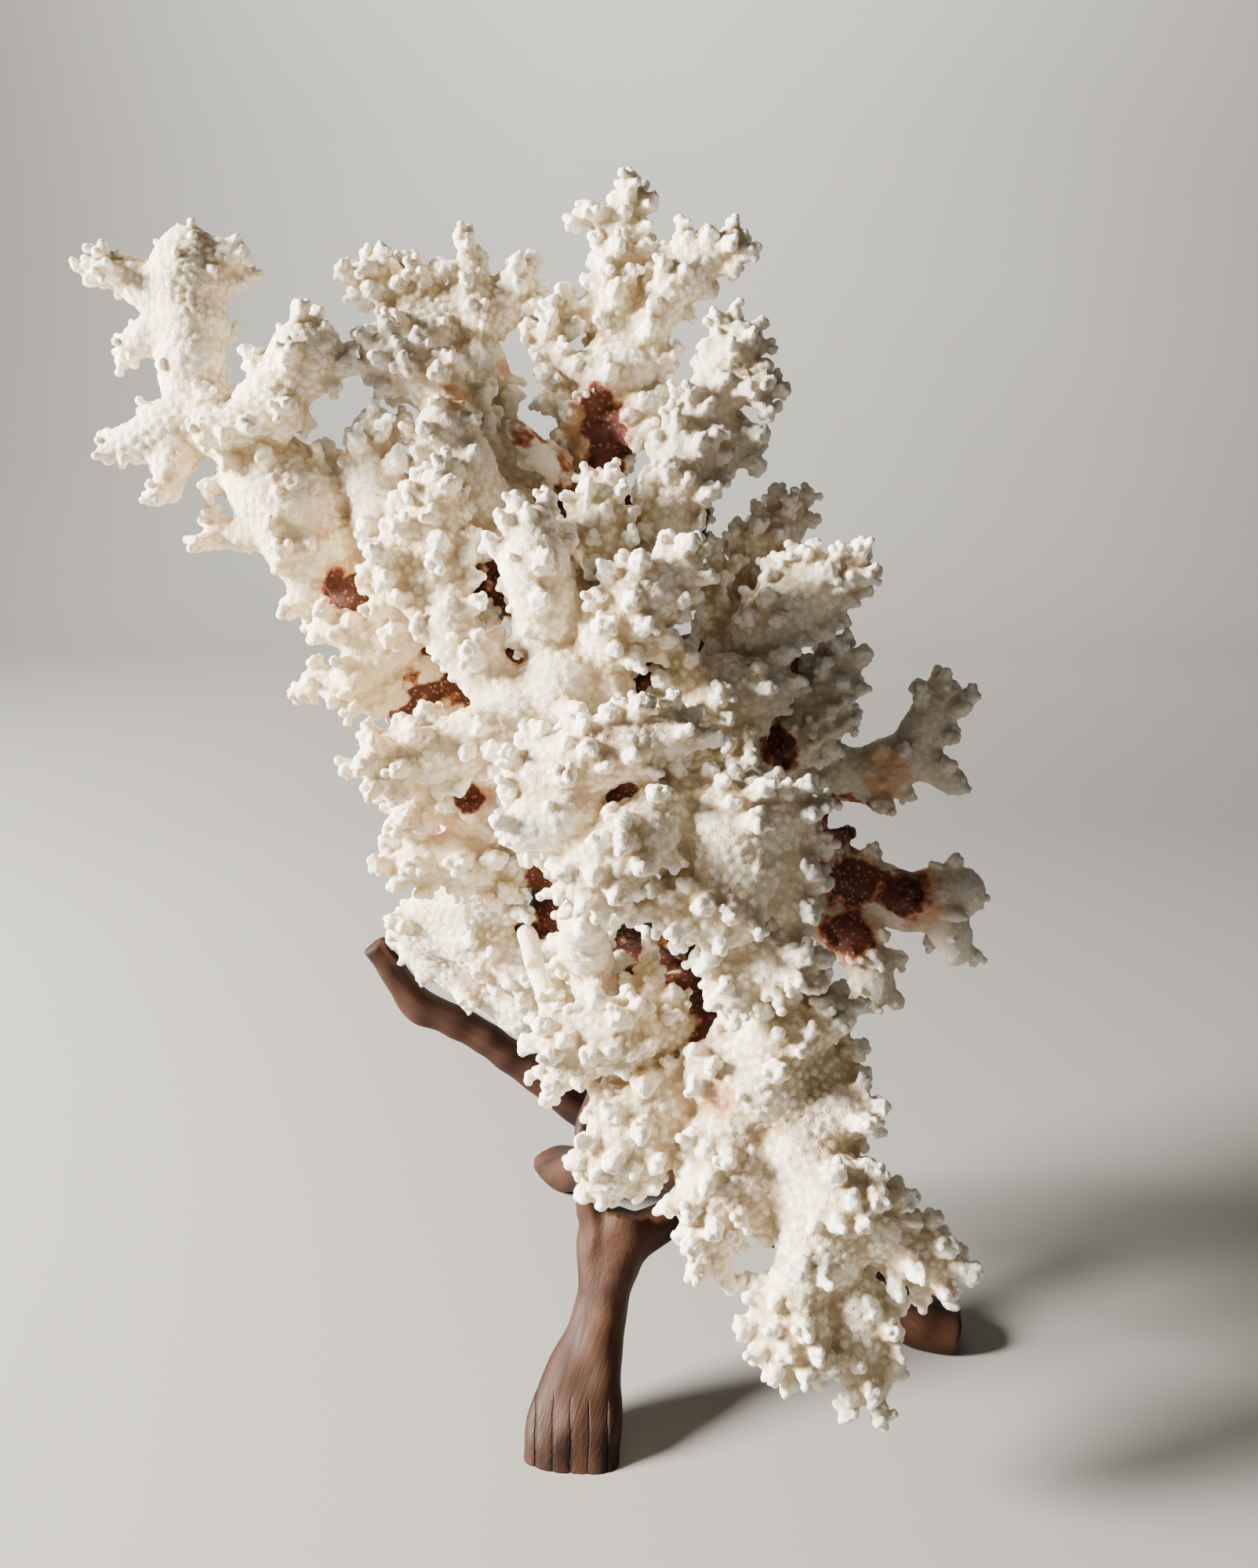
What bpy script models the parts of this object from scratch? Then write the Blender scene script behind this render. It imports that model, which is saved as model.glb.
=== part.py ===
"""A piece of branching lace coral resting on a carved three-legged wooden stand.

Metres, +Z up, origin on the ground under the middle of the whole piece.
The coral was placed by eye from one viewpoint, so its branches are written
as that eye sees them: millimetres right and up on a plane through the middle
of the piece, millimetres behind that plane, and the branch's radius there.
Each limb is fused from those rounded masses and its knobs, thinned to few
faces, and then trimmed where it meets the limb that it grows from.
"""
import math
import random

import bmesh
import bpy
from mathutils import Vector
from mathutils.bvhtree import BVHTree

MM = 0.001

# The eye and its plane
EYE = Vector((-16.6, -310.6, 233.0))
PITCH = math.radians(14.2)
PLANE = 321.2
AHEAD = Vector((0.0, math.cos(PITCH), -math.sin(PITCH)))
ACROSS = Vector((1.0, 0.0, 0.0))
UPWARD = Vector((0.0, math.sin(PITCH), math.cos(PITCH)))

# Gaps between the limbs, in millimetres, and the ways tried to cut them
GAPS = (0.45, 0.55, 0.65, 0.8, 0.95, 1.1, 1.3, 1.6, 2.0)
TRIES = [(gap, solver) for gap in GAPS for solver in ("EXACT", "MANIFOLD")]
CREASE_GAP = 0.15
SHARPEST = 0.4

# How a limb's skin is made, in millimetres
BLOB_STEP = 0.4
VOXEL = 1.3
VOXEL_GROWTH = 0.04
FUSE_TRIES = 8
SMOOTHING = 0.5
FACES = 83
SEED = 11

# The blunt knobs round a limb, their places and sizes in millimetres or radii
KNOB = 2.9
KNOB_STEP = 8.0
KNOB_OUT = 0.82
KNOB_LEAN = 0.35
KNOB_SPREAD = (0.85, 1.15)
KNOB_END_OUT = 0.6
KNOB_END = 0.85
KNOBS_AT_ROOT = 0.35
KNOBS_ROUND = 2
GOLDEN = math.pi * (3.0 - math.sqrt(5.0))

# The fingers at a limb's end
TIP_OUT = 0.68
TIP_LEAN = (0.7, 1.2)
TIP_SPREAD = (0.9, 1.15)
TIP_SIZE = 0.6
TIP_END_OUT = 0.7
WIDE_TIP = 5.0
FINGERS = 3
WIDE_FINGERS = 4

# The straight edge of the face where the coral was broken off
BROKEN_EDGE = ((-57, -50, 24), (-20, -71, 24))

# The stand
FOOT_SIDES = 10
BLUNTNESS = 3.0

IVORY = (0.83, 0.78, 0.68)
HEART = (0.27, 0.10, 0.06)
POROUS = (0.66, 0.62, 0.57)
BROWN = (0.20, 0.085, 0.045)


def clear_scene():
    for old in list(bpy.data.objects):
        bpy.data.objects.remove(old, do_unlink=True)


def material(name, colour, roughness):
    made = bpy.data.materials.new(name)
    made.use_nodes = True
    shader = made.node_tree.nodes["Principled BSDF"]
    shader.inputs["Base Color"].default_value = (*colour, 1.0)
    shader.inputs["Roughness"].default_value = roughness
    return made


def seen(right, up, back):
    """The point, in millimetres, that the eye sees there."""
    reach = PLANE + back
    return EYE + AHEAD * reach + (ACROSS * right + UPWARD * up) * (reach / PLANE)


def add_ball(bm, centre, radius, flat=1.0):
    """A ball, pressed along the line of sight by the factor flat."""
    made = bmesh.ops.create_icosphere(bm, subdivisions=2, radius=radius)
    for vert in made["verts"]:
        depth = vert.co.dot(AHEAD)
        vert.co += AHEAD * (depth * (flat - 1.0)) + centre


def blend(a, b, t):
    return a + (b - a) * t


def stations(stroke):
    """Evenly close points along a stroke, with radius and heading."""
    points = [(seen(*p[:3]), p[3]) for p in stroke]
    made = []
    for (start, r0), (end, r1) in zip(points, points[1:]):
        heading = (end - start).normalized()
        count = max(1, int((end - start).length / (BLOB_STEP * min(r0, r1)) + 0.5))
        for i in range(count):
            t = i / count
            made.append((start.lerp(end, t), blend(r0, r1, t), heading))
    made.append((points[-1][0], points[-1][1], heading))
    return made


def add_knobs(bm, places, flat, chance):
    """Blunt knobs round a stroke, thickest towards its tip."""
    travelled = 0.0
    turn = chance.uniform(0.0, math.tau)
    last = places[0][0]
    total = sum((b[0] - a[0]).length for a, b in zip(places, places[1:]))
    done = 0.0
    for centre, radius, heading in places:
        travelled += (centre - last).length
        done += (centre - last).length
        last = centre
        if travelled < KNOB_STEP:
            continue
        travelled = 0.0
        side = heading.orthogonal().normalized()
        other = heading.cross(side)
        ripe = blend(KNOBS_AT_ROOT, 1.0, done / total)
        for _ in range(KNOBS_ROUND):
            turn += GOLDEN
            if chance.random() > ripe:
                continue
            out = side * math.cos(turn) + other * math.sin(turn) + heading * KNOB_LEAN
            out.normalize()
            out_depth = out.dot(AHEAD)
            base = centre + out * radius * KNOB_OUT + AHEAD * (out_depth * radius * (flat - 1.0))
            size = KNOB * chance.uniform(*KNOB_SPREAD)
            add_ball(bm, base, size)
            add_ball(bm, base + out * size * KNOB_END_OUT, size * KNOB_END)


def add_tip(bm, places, chance):
    """A few fingers fanning out of the end of a stroke."""
    centre, radius, heading = places[-1]
    side = heading.orthogonal().normalized()
    other = heading.cross(side)
    count = WIDE_FINGERS if radius > WIDE_TIP else FINGERS
    turn = chance.uniform(0.0, math.tau)
    for i in range(count):
        turn += math.tau / count
        lean = chance.uniform(*TIP_LEAN)
        out = (heading + (side * math.cos(turn) + other * math.sin(turn)) * lean).normalized()
        size = min(KNOB, radius * TIP_SIZE) * chance.uniform(*TIP_SPREAD)
        add_ball(bm, centre + out * radius * TIP_OUT, size)
        add_ball(bm, centre + out * (radius * TIP_OUT + size * TIP_END_OUT), size * KNOB_END)


def limb_mesh(name, strokes, flat, knobs, chance):
    bm = bmesh.new()
    for stroke in strokes:
        places = stations(stroke)
        for centre, radius, _ in places:
            add_ball(bm, centre, radius, flat)
        if knobs:
            add_knobs(bm, places, flat, chance)
            add_tip(bm, places, chance)
    bmesh.ops.scale(bm, vec=(MM, MM, MM), verts=bm.verts)
    mesh = bpy.data.meshes.new(name)
    bm.to_mesh(mesh)
    bm.free()
    return mesh


def put(name, mesh):
    made = bpy.data.objects.new(name, mesh)
    bpy.context.scene.collection.objects.link(made)
    return made


def settle(item):
    """Turn what the modifiers make into the object's own mesh."""
    bpy.context.view_layer.update()
    graph = bpy.context.evaluated_depsgraph_get()
    done = bpy.data.meshes.new_from_object(item.evaluated_get(graph))
    item.modifiers.clear()
    old = item.data
    item.data = done
    bpy.data.meshes.remove(old)


def fuse(item, faces):
    """One skin round all the masses, thinned to about so many faces."""
    raw = item.data.copy()
    for extra in range(FUSE_TRIES):
        item.data = raw.copy()
        skin = item.modifiers.new("skin", "REMESH")
        skin.mode = "VOXEL"
        skin.voxel_size = VOXEL * MM * (1.0 + VOXEL_GROWTH * extra)
        even = item.modifiers.new("even", "SMOOTH")
        even.factor = SMOOTHING
        even.iterations = 1
        settle(item)
        thin = item.modifiers.new("thin", "DECIMATE")
        thin.use_collapse_triangulate = True
        thin.ratio = min(1.0, faces / (2.0 * len(item.data.polygons)))
        settle(item)
        keep_largest(item)
        if sound(item):
            break


def cut_flat(item, place, outward):
    """Cut off what lies outward of the plane, and close the cut with a flat face."""
    bm = bmesh.new()
    bm.from_mesh(item.data)
    bmesh.ops.bisect_plane(bm, geom=bm.verts[:] + bm.edges[:] + bm.faces[:],
                           plane_co=place, plane_no=outward, clear_outer=True)
    stray = [vert for vert in bm.verts if not vert.link_faces]
    bmesh.ops.delete(bm, geom=stray, context="VERTS")
    rim = [edge for edge in bm.edges if edge.is_boundary]
    if rim:
        bmesh.ops.holes_fill(bm, edges=rim)
    bmesh.ops.recalc_face_normals(bm, faces=bm.faces)
    bmesh.ops.triangulate(bm, faces=bm.faces)
    bm.to_mesh(item.data)
    bm.free()


def cut_broken_face(item):
    """The flat face where the coral was broken off its rock."""
    along = seen(*BROKEN_EDGE[1]) - seen(*BROKEN_EDGE[0])
    down = along.cross(Vector((0.0, 1.0, 0.0)))
    if down.z > 0.0:
        down.negate()
    cut_flat(item, seen(*BROKEN_EDGE[0]) * MM, down)
    keep_largest(item)


def reach(item):
    spots = [vert.co for vert in item.data.vertices]
    low = Vector([min(s[i] for s in spots) for i in range(3)])
    high = Vector([max(s[i] for s in spots) for i in range(3)])
    return low, high


def near(a, b):
    low_a, high_a = reach(a)
    low_b, high_b = reach(b)
    room = 2.0 * GAPS[0] * MM
    return all(low_a[i] - room < high_b[i] and low_b[i] - room < high_a[i] for i in range(3))


def grown_copy(item, gap):
    """The same shape, a gap's width larger all round, to cut with."""
    bm = bmesh.new()
    bm.from_mesh(item.data)
    bm.normal_update()
    for vert in bm.verts:
        lean = min(vert.normal.dot(face.normal) for face in vert.link_faces)
        vert.co += vert.normal * (gap * MM / max(lean, SHARPEST))
    mesh = bpy.data.meshes.new("cutter")
    bm.to_mesh(mesh)
    bm.free()
    return put("cutter", mesh)


def keep_largest(item):
    """Drop the crumbs that a cut can leave."""
    bm = bmesh.new()
    bm.from_mesh(item.data)
    bmesh.ops.triangulate(bm, faces=bm.faces)
    unseen = set(bm.verts)
    bodies = []
    while unseen:
        body = {unseen.pop()}
        edge = list(body)
        while edge:
            for link in edge.pop().link_edges:
                for vert in link.verts:
                    if vert in unseen:
                        unseen.discard(vert)
                        body.add(vert)
                        edge.append(vert)
        bodies.append(body)
    if len(bodies) > 1:
        bodies.sort(key=len)
        for body in bodies[:-1]:
            bmesh.ops.delete(bm, geom=list(body), context="VERTS")
    bm.to_mesh(item.data)
    bm.free()


def skin_tree(item):
    bm = bmesh.new()
    bm.from_mesh(item.data)
    tree = BVHTree.FromBMesh(bm)
    bm.free()
    return tree


def touching(a, b):
    return bool(skin_tree(a).overlap(skin_tree(b)))


def sound(item):
    """Whether the object is still one closed solid."""
    bm = bmesh.new()
    bm.from_mesh(item.data)
    whole = len(bm.faces) > 0 and all(edge.is_manifold for edge in bm.edges)
    whole = whole and all(vert.is_manifold for vert in bm.verts)
    bm.free()
    return whole


def cut_once(item, cutter, solver):
    cut = item.modifiers.new("cut", "BOOLEAN")
    cut.operation = "DIFFERENCE"
    cut.solver = solver
    if solver == "EXACT":
        cut.use_self = True
    cut.object = cutter
    settle(item)
    keep_largest(item)


def drop(item):
    mesh = item.data
    bpy.data.objects.remove(item, do_unlink=True)
    bpy.data.meshes.remove(mesh)


def cut_clear(item, other, gap, solver):
    """Cut with the grown neighbour, and closer in where its skin is creased."""
    for width in (gap, CREASE_GAP, 2.0 * CREASE_GAP):
        cutter = grown_copy(other, width)
        if touching(item, cutter):
            cut_once(item, cutter, solver)
        drop(cutter)
        if not sound(item):
            return False
        if not touching(item, other):
            return True
    return False


def trim(item, fixed):
    """Cut an object back from every fixed one that it would touch."""
    for other in fixed:
        if not near(item, other):
            continue
        for gap, solver in TRIES:
            before = item.data.copy()
            if cut_clear(item, other, gap, solver):
                break
            item.data = before


# Each leg of the stand is a run of rings: place in millimetres, the width
# across the leg and the thickness of the leg there.
FRONT_LEG = [((-30.5, -55.5, 0.0), 23.5, 9.0), ((-30.0, -51.0, 5.5), 23.5, 12.0),
             ((-28.0, -43.0, 13.0), 20.0, 12.0), ((-24.5, -35.0, 22.0), 14.0, 11.5),
             ((-22.5, -30.0, 31.0), 14.0, 11.5), ((-21.0, -25.5, 40.0), 18.5, 12.0)]
FRONT_LEFT_PRONG = [((-24.0, -29.0, 32.0), 9.0, 10.0), ((-25.0, -25.5, 42.0), 7.5, 9.0),
                    ((-28.0, -20.5, 52.0), 5.0, 8.0),
                    ((-27.5, -10.0, 65.0), 5.0, 8.0), ((-18.0, 6.0, 76.0), 6.0, 8.0),
                    ((-3.0, 17.0, 82.0), 9.0, 8.0)]
FRONT_RIGHT_PRONG = [((-20.0, -29.0, 32.0), 9.0, 10.0), ((-15.5, -25.0, 40.5), 8.5, 9.0),
                     ((-6.0, -20.0, 44.0), 6.0, 8.0),
                     ((2.5, -14.5, 49.5), 5.5, 8.0), ((5.5, -4.0, 61.0), 5.0, 8.0),
                     ((3.0, 8.0, 73.0), 6.0, 8.0), ((-3.0, 17.0, 82.0), 9.0, 8.0)]
FRONT_ARM = [((-3.0, 17.0, 82.0), 10.0, 9.0), ((8.0, 34.0, 90.0), 9.0, 9.0),
             ((19.0, 52.0, 96.0), 9.0, 8.0), ((26.0, 63.0, 106.0), 8.0, 7.0)]
RIGHT_LEG = [((73.0, -14.0, 3.6), 13.0, 10.0), ((62.0, -11.5, 6.0), 16.0, 13.0),
             ((48.0, -8.0, 13.5), 13.0, 11.0), ((28.0, -3.0, 26.0), 10.0, 10.0),
             ((8.0, 3.0, 36.0), 11.0, 10.0), ((-12.0, 7.0, 45.0), 12.0, 10.0),
             ((-28.0, 10.0, 56.0), 11.0, 9.5), ((-41.0, 12.0, 66.0), 10.0, 9.0),
             ((-56.0, 13.5, 77.0), 9.0, 8.5), ((-66.0, 14.0, 83.0), 9.0, 8.5),
             ((-75.0, 14.5, 87.0), 9.5, 9.0), ((-80.0, 15.0, 94.0), 8.5, 7.5),
             ((-87.0, 15.0, 105.0), 7.0, 6.5)]
REAR_LEG = [((-41.5, 75.0, 3.4), 17.0, 9.0), ((-36.0, 63.0, 6.0), 16.0, 13.0),
            ((-31.0, 50.0, 16.0), 12.0, 11.0), ((-25.0, 36.0, 34.0), 10.0, 10.0),
            ((-17.0, 21.0, 56.0), 9.5, 9.0), ((-12.0, 6.0, 65.0), 9.5, 8.5),
            ((-7.0, -10.0, 72.0), 9.5, 8.5), ((3.0, -24.0, 80.0), 9.0, 8.0),
            ((11.0, -34.0, 90.0), 7.5, 7.0)]


def ring_points(centre, heading, width, thick, level):
    """A rounded ring across the leg; a level ring lies flat on the ground."""
    across = heading.cross(Vector((0.0, 0.0, 1.0)))
    across.normalize()
    over = across.cross(heading).normalized()
    if level:
        over = across.cross(Vector((0.0, 0.0, 1.0)))
    made = []
    for i in range(FOOT_SIDES):
        angle = math.tau * (i + 0.5) / FOOT_SIDES
        c, s = math.cos(angle), math.sin(angle)
        blunt = (abs(c) ** BLUNTNESS + abs(s) ** BLUNTNESS) ** (-1.0 / BLUNTNESS)
        made.append(centre + across * (c * blunt * width / 2.0) + over * (s * blunt * thick / 2.0))
    return made


def leg_strand(rings, level_start):
    bm = bmesh.new()
    loops = []
    for i, (place, width, thick) in enumerate(rings):
        here = Vector(place)
        ahead = Vector(rings[min(i + 1, len(rings) - 1)][0])
        behind = Vector(rings[max(i - 1, 0)][0])
        heading = (ahead - behind).normalized()
        level = level_start and i == 0
        spots = ring_points(here, heading, width, thick, level)
        loops.append([bm.verts.new(spot * MM) for spot in spots])
    for a, b in zip(loops, loops[1:]):
        for i in range(FOOT_SIDES):
            j = (i + 1) % FOOT_SIDES
            bm.faces.new((a[i], a[j], b[j], b[i]))
    bm.faces.new(list(reversed(loops[0])))
    bm.faces.new(loops[-1])
    if bm.calc_volume(signed=True) < 0.0:
        bmesh.ops.reverse_faces(bm, faces=bm.faces)
    mesh = bpy.data.meshes.new("strand")
    bm.to_mesh(mesh)
    bm.free()
    return mesh


def build_leg(name, strands, level_start, paint):
    """Join the leg's strands and cut its foot off flat on the ground."""
    leg = put(name, leg_strand(strands[0], level_start))
    for strand in strands[1:]:
        extra = put("extra", leg_strand(strand, False))
        join = leg.modifiers.new("join", "BOOLEAN")
        join.operation = "UNION"
        join.solver = "EXACT"
        join.object = extra
        settle(leg)
        bpy.data.objects.remove(extra, do_unlink=True)
    cut_flat(leg, (0.0, 0.0, 0.0), (0.0, 0.0, -1.0))
    leg.data.materials.clear()
    leg.data.materials.append(paint)
    return leg


# Name, strokes of (right, up, back, radius), flatness, knobs, colour, faces.
# What carries a limb stands before it in the list.
LIMBS = [
    ("base_crust", [[(-52, -40, 25, 9), (-40, -47, 26, 11), (-26, -55, 26, 12), (-10, -57, 27, 11),
                     (6, -55, 27, 10), (22, -52, 25, 9)],
                    [(-40, -38, 36, 10), (-16, -44, 44, 12), (10, -46, 42, 10)]],
     1.0, True, "porous", 1.6),
    ("left_trunk", [[(-40, -30, 22, 9), (-47, -5, 16, 9), (-51, 15, 8, 9), (-60, 35, 2, 9),
                     (-70, 46, -3, 9)]], 1.0, False, "heart", 0.8),
    ("middle_trunk", [[(-16, -34, 24, 10), (-15, -8, 16, 10), (-12, 22, 8, 10), (-12, 50, 6, 10),
                       (-10, 72, 3, 9)],
                      [(-10, 68, -2, 6), (-14, 75, -8, 3.5), (-22, 83, -11, 3.5), (-29, 91, -12, 3)]],
     1.0, False, "heart", 1.0),
    ("right_trunk", [[(14, -38, 24, 9), (26, -20, 22, 9), (36, 0, 18, 9), (38, 22, 10, 8),
                      (34, 40, 2, 8)]], 1.0, False, "heart", 0.8),
    ("front_stem", [[(-6, -42, 18, 8), (8, -52, 6, 9), (16, -60, -8, 9), (22, -70, -20, 9)]],
     1.0, False, "heart", 0.6),
    ("upper_left_stem", [[(-76, 53, -5, 9), (-81, 63, -8, 11.5), (-86, 73, -10, 12.5),
                          (-95, 84, -10, 10.5)],
                         [(-86, 66, -8, 7), (-96, 64, -8, 4.5), (-105, 63, -8, 3.5)],
                         [(-80, 52, -6, 6), (-83, 46, -6, 4)],
                         [(-92, 76, -10, 7), (-103, 77, -8, 3.5)]],
     0.85, True, "ivory", 1.3),
    ("upper_left_crown", [[(-103, 91, -10, 8.5), (-111, 101, -10, 7.5), (-112, 114, -10, 8.5),
                           (-112, 127, -10, 9.5), (-112, 134, -10, 8)],
                          [(-112, 130, -10, 6), (-100, 135, -10, 4.5)],
                          [(-118, 124, -10, 6), (-132, 132, -10, 4.5)],
                          [(-114, 116, -10, 6), (-128, 112, -10, 4)],
                          [(-114, 92, -10, 7), (-124, 88, -10, 5.5), (-131, 86, -10, 4)],
                          [(-115, 88, -10, 6), (-118, 75, -10, 3.5)]],
     0.85, True, "ivory", 1.8),
    ("upper_left_fork", [[(-95, 92, -16, 8), (-89, 101, -18, 8), (-83, 109, -19, 8),
                          (-80, 112, -19, 6.5)],
                         [(-90, 94, -20, 6), (-107, 90, -24, 4)]],
     0.85, True, "ivory", 1.1),
    ("left_side_upper", [[(-60, 36, -8, 7), (-68, 38, -10, 6), (-77, 41, -10, 5)],
                         [(-62, 33, -8, 6), (-70, 28, -10, 6)]],
     0.9, True, "ivory", 0.8),
    ("left_side_lower", [[(-52, 24, 2, 7), (-62, 24, -4, 6), (-72, 25, -6, 5.5), (-80, 26, -6, 4)]],
     0.9, True, "ivory", 0.7),
    ("cream_lobe", [[(-60, 38, 0, 8), (-58, 52, -8, 8), (-62, 66, -12, 9), (-66, 80, -14, 8.5),
                     (-65, 91, -14, 6)]],
     0.8, True, "ivory", 1.0),
    ("top_left_stem", [[(-18, 58, 8, 9), (-28, 76, 6, 9), (-37, 95, 3, 8.5), (-38, 107, 1, 8.5)]],
     0.9, False, "ivory", 0.7),
    ("top_left_arm", [[(-44, 117, 0, 7), (-53, 124, 0, 7), (-62, 127, 0, 6), (-68, 129, 0, 4)],
                      [(-50, 116, -4, 6), (-61, 117, -4, 4)]],
     0.85, True, "ivory", 1.1),
    ("top_left_crest", [[(-38, 118, -1, 7), (-40, 127, -2, 6), (-40, 134, -2, 4)],
                        [(-33, 120, -1, 6), (-28, 128, -1, 6)]],
     0.85, True, "ivory", 0.9),
    ("grey_lobe", [[(-42, 92, -10, 8), (-48, 100, -13, 8), (-56, 106, -15, 7), (-66, 111, -17, 4)]],
     0.85, True, "ivory", 0.9),
    ("top_trunk", [[(-9, 80, 0, 8), (-9, 94, -2, 8), (-5, 106, -4, 9)],
                   [(-5, 106, -4, 8), (8, 107, -6, 5)],
                   [(-5, 104, -5, 6), (-13, 107, -7, 4)],
                   [(-4, 92, -4, 6), (4, 95, -8, 5)]],
     0.9, True, "ivory", 1.0),
    ("top_spire", [[(-3, 118, -4, 7), (-3, 131, -4, 6.5), (-1, 143, -4, 6), (1, 151, -4, 5)],
                   [(-3, 143, -4, 4), (-13, 145, -4, 3)]],
     0.9, True, "ivory", 1.1),
    ("top_fork", [[(5, 116, -7, 6.5), (11, 126, -8, 6.5), (18, 133, -9, 6.5), (26, 137, -10, 5)],
                  [(13, 130, -8, 5), (14, 139, -8, 3.5)]],
     0.9, True, "ivory", 1.1),
    ("thin_branch", [[(-14, 90, -3, 4), (-17, 102, -3, 4), (-20, 113, -3, 5), (-16, 121, -3, 5)]],
     0.9, True, "ivory", 0.6),
    ("smooth_lobe", [[(-27, 70, 3, 8), (-36, 68, -10, 9), (-42, 80, -16, 9), (-46, 90, -18, 8),
                      (-47, 95, -18, 6)]],
     0.85, True, "ivory", 1.0),
    ("upper_right_stem", [[(2, 56, -4, 9), (10, 68, -12, 9), (15, 84, -14, 8.5), (19, 95, -12, 8)]],
     0.85, True, "ivory", 1.1),
    ("upper_right_crown", [[(23, 103, -12, 7.5), (28, 111, -12, 7)],
                           [(24, 102, -14, 6), (33, 101, -14, 5)],
                           [(20, 92, -10, 7), (30, 85, -10, 5)]],
     0.85, True, "ivory", 1.1),
    ("right_back_lobe", [[(32, 48, 0, 8), (33, 60, 0, 8), (41, 67, 2, 6)]],
     0.9, True, "ivory", 0.8),
    ("right_upper_branch", [[(34, 34, 0, 8), (29, 34, -14, 8), (38, 42, -18, 9), (48, 50, -20, 9),
                             (57, 55, -20, 5)],
                            [(40, 46, -18, 6), (40, 56, -18, 4)],
                            [(26, 36, -12, 6), (22, 46, -7, 5), (23, 54, -6, 4)]],
     0.8, True, "ivory", 1.5),
    ("right_mid_lobe", [[(37, 4, 12, 8), (40, 8, -8, 8), (46, 18, -12, 9), (54, 29, -14, 6.5)]],
     0.8, True, "ivory", 1.0),
    ("right_high_arm", [[(48, 4, 16, 7), (62, 2, 14, 8), (71, 7, 12, 6), (76, 15, 12, 6),
                         (80, 22, 12, 6)],
                        [(76, 5, 12, 5), (84, 0, 12, 3.5)]],
     0.9, True, "ivory", 1.2),
    ("right_arm", [[(32, -12, 20, 8), (44, -16, 18, 8), (56, -24, 16, 8), (70, -30, 14, 8),
                    (84, -28, 12, 8)],
                   [(80, -34, 14, 6), (84, -42, 14, 5)]],
     0.9, True, "ivory", 1.2),
    ("right_low_blade", [[(30, -26, 21, 8), (48, -32, 18, 8), (58, -40, 16, 8), (62, -48, 14, 7),
                          (62, -56, 13, 4)]],
     0.8, True, "ivory", 0.8),
    ("broad_lobe", [[(-11, 30, 2, 8), (-6, 32, -16, 9), (-3, 40, -30, 11), (2, 48, -35, 10),
                     (13, 54, -34, 7)]],
     0.7, True, "ivory", 1.2),
    ("tall_smooth_lobe", [[(-13, 22, 4, 8), (-18, 30, -18, 9), (-22, 44, -30, 9), (-24, 56, -33, 9),
                           (-24, 64, -33, 8)]],
     0.8, True, "ivory", 1.1),
    ("spiky_cluster", [[(-10, 54, -8, 8), (-8, 64, -18, 9), (-7, 74, -20, 7)]],
     0.8, True, "ivory", 1.0),
    ("left_front_lobe", [[(-54, 24, 4, 8), (-42, 36, -14, 8), (-50, 48, -22, 10), (-60, 56, -24, 9)],
                         [(-48, 54, -24, 9), (-50, 66, -26, 8), (-49, 75, -26, 6)]],
     0.75, True, "ivory", 1.5),
    ("star_hub", [[(-16, -4, 10, 8), (-26, 2, -12, 9), (-33, 19, -26, 11), (-19, 24, -28, 8)],
                  [(-36, 27, -26, 8), (-46, 39, -28, 7), (-45, 48, -28, 5)]],
     0.7, True, "ivory", 1.5),
    ("star_left_arm", [[(-40, 14, -30, 9), (-52, 13, -31, 8.5), (-63, 12, -31, 7.5)]],
     0.8, True, "ivory", 0.9),
    ("centre_right_lobe", [[(33, 2, 14, 8), (24, 8, -4, 8), (16, 14, -18, 8), (21, 23, -24, 9),
                            (34, 25, -25, 9)],
                           [(15, 26, -26, 7), (13, 34, -27, 4.5)],
                           [(32, 18, -22, 6), (28, 8, -22, 4.5), (36, 3, -20, 4)]],
     0.7, True, "ivory", 1.6),
    ("left_low_upper_arm", [[(-42, -12, 12, 8), (-36, -8, -8, 8), (-46, -4, -14, 7),
                             (-57, -5, -16, 5.5)],
                            [(-50, -2, -14, 6), (-64, 4, -14, 4)]],
     0.85, True, "ivory", 1.0),
    ("left_low_lower_arm", [[(-37, -27, 16, 8), (-34, -22, 2, 8), (-44, -18, -8, 8),
                             (-54, -20, -10, 6), (-61, -20, -10, 4)]],
     0.85, True, "ivory", 0.8),
    ("front_crest_lobe", [[(-15, -12, 10, 8), (-20, -12, -14, 8), (-22, -8, -30, 9),
                           (-20, 2, -42, 10), (-6, 8, -46, 9), (12, 13, -46, 6.5)]],
     0.75, True, "ivory", 1.4),
    ("bulb_lobe", [[(-16, -8, -36, 7), (-10, -10, -44, 7), (-18, -10, -47, 7), (-28, -11, -47, 6)]],
     0.85, True, "ivory", 0.9),
    ("diagonal_lobe", [[(14, -4, -42, 8), (8, -9, -47, 8), (0, -16, -49, 9), (-10, -24, -48, 8)]],
     0.8, True, "ivory", 1.0),
    ("right_front_lobe", [[(27, -16, 14, 8), (24, -12, -16, 8), (18, -10, -42, 10),
                           (28, -10, -46, 12), (40, -8, -44, 9)],
                          [(28, -14, -46, 11), (24, -30, -45, 12), (14, -32, -44, 8)],
                          [(38, -14, -44, 9), (42, -30, -42, 7)]],
     0.6, True, "ivory", 2.0),
    ("right_front_low", [[(26, -38, -38, 8), (26, -46, -40, 7), (27, -53, -40, 6)],
                         [(30, -44, -40, 7), (40, -46, -42, 8)]],
     0.7, True, "ivory", 1.0),
    ("cream_stem", [[(-8, -52, 12, 8), (-9, -49, -10, 6.5), (-11, -42, -24, 6.5), (-12, -34, -36, 6.5)]],
     0.9, False, "ivory", 0.5),
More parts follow.
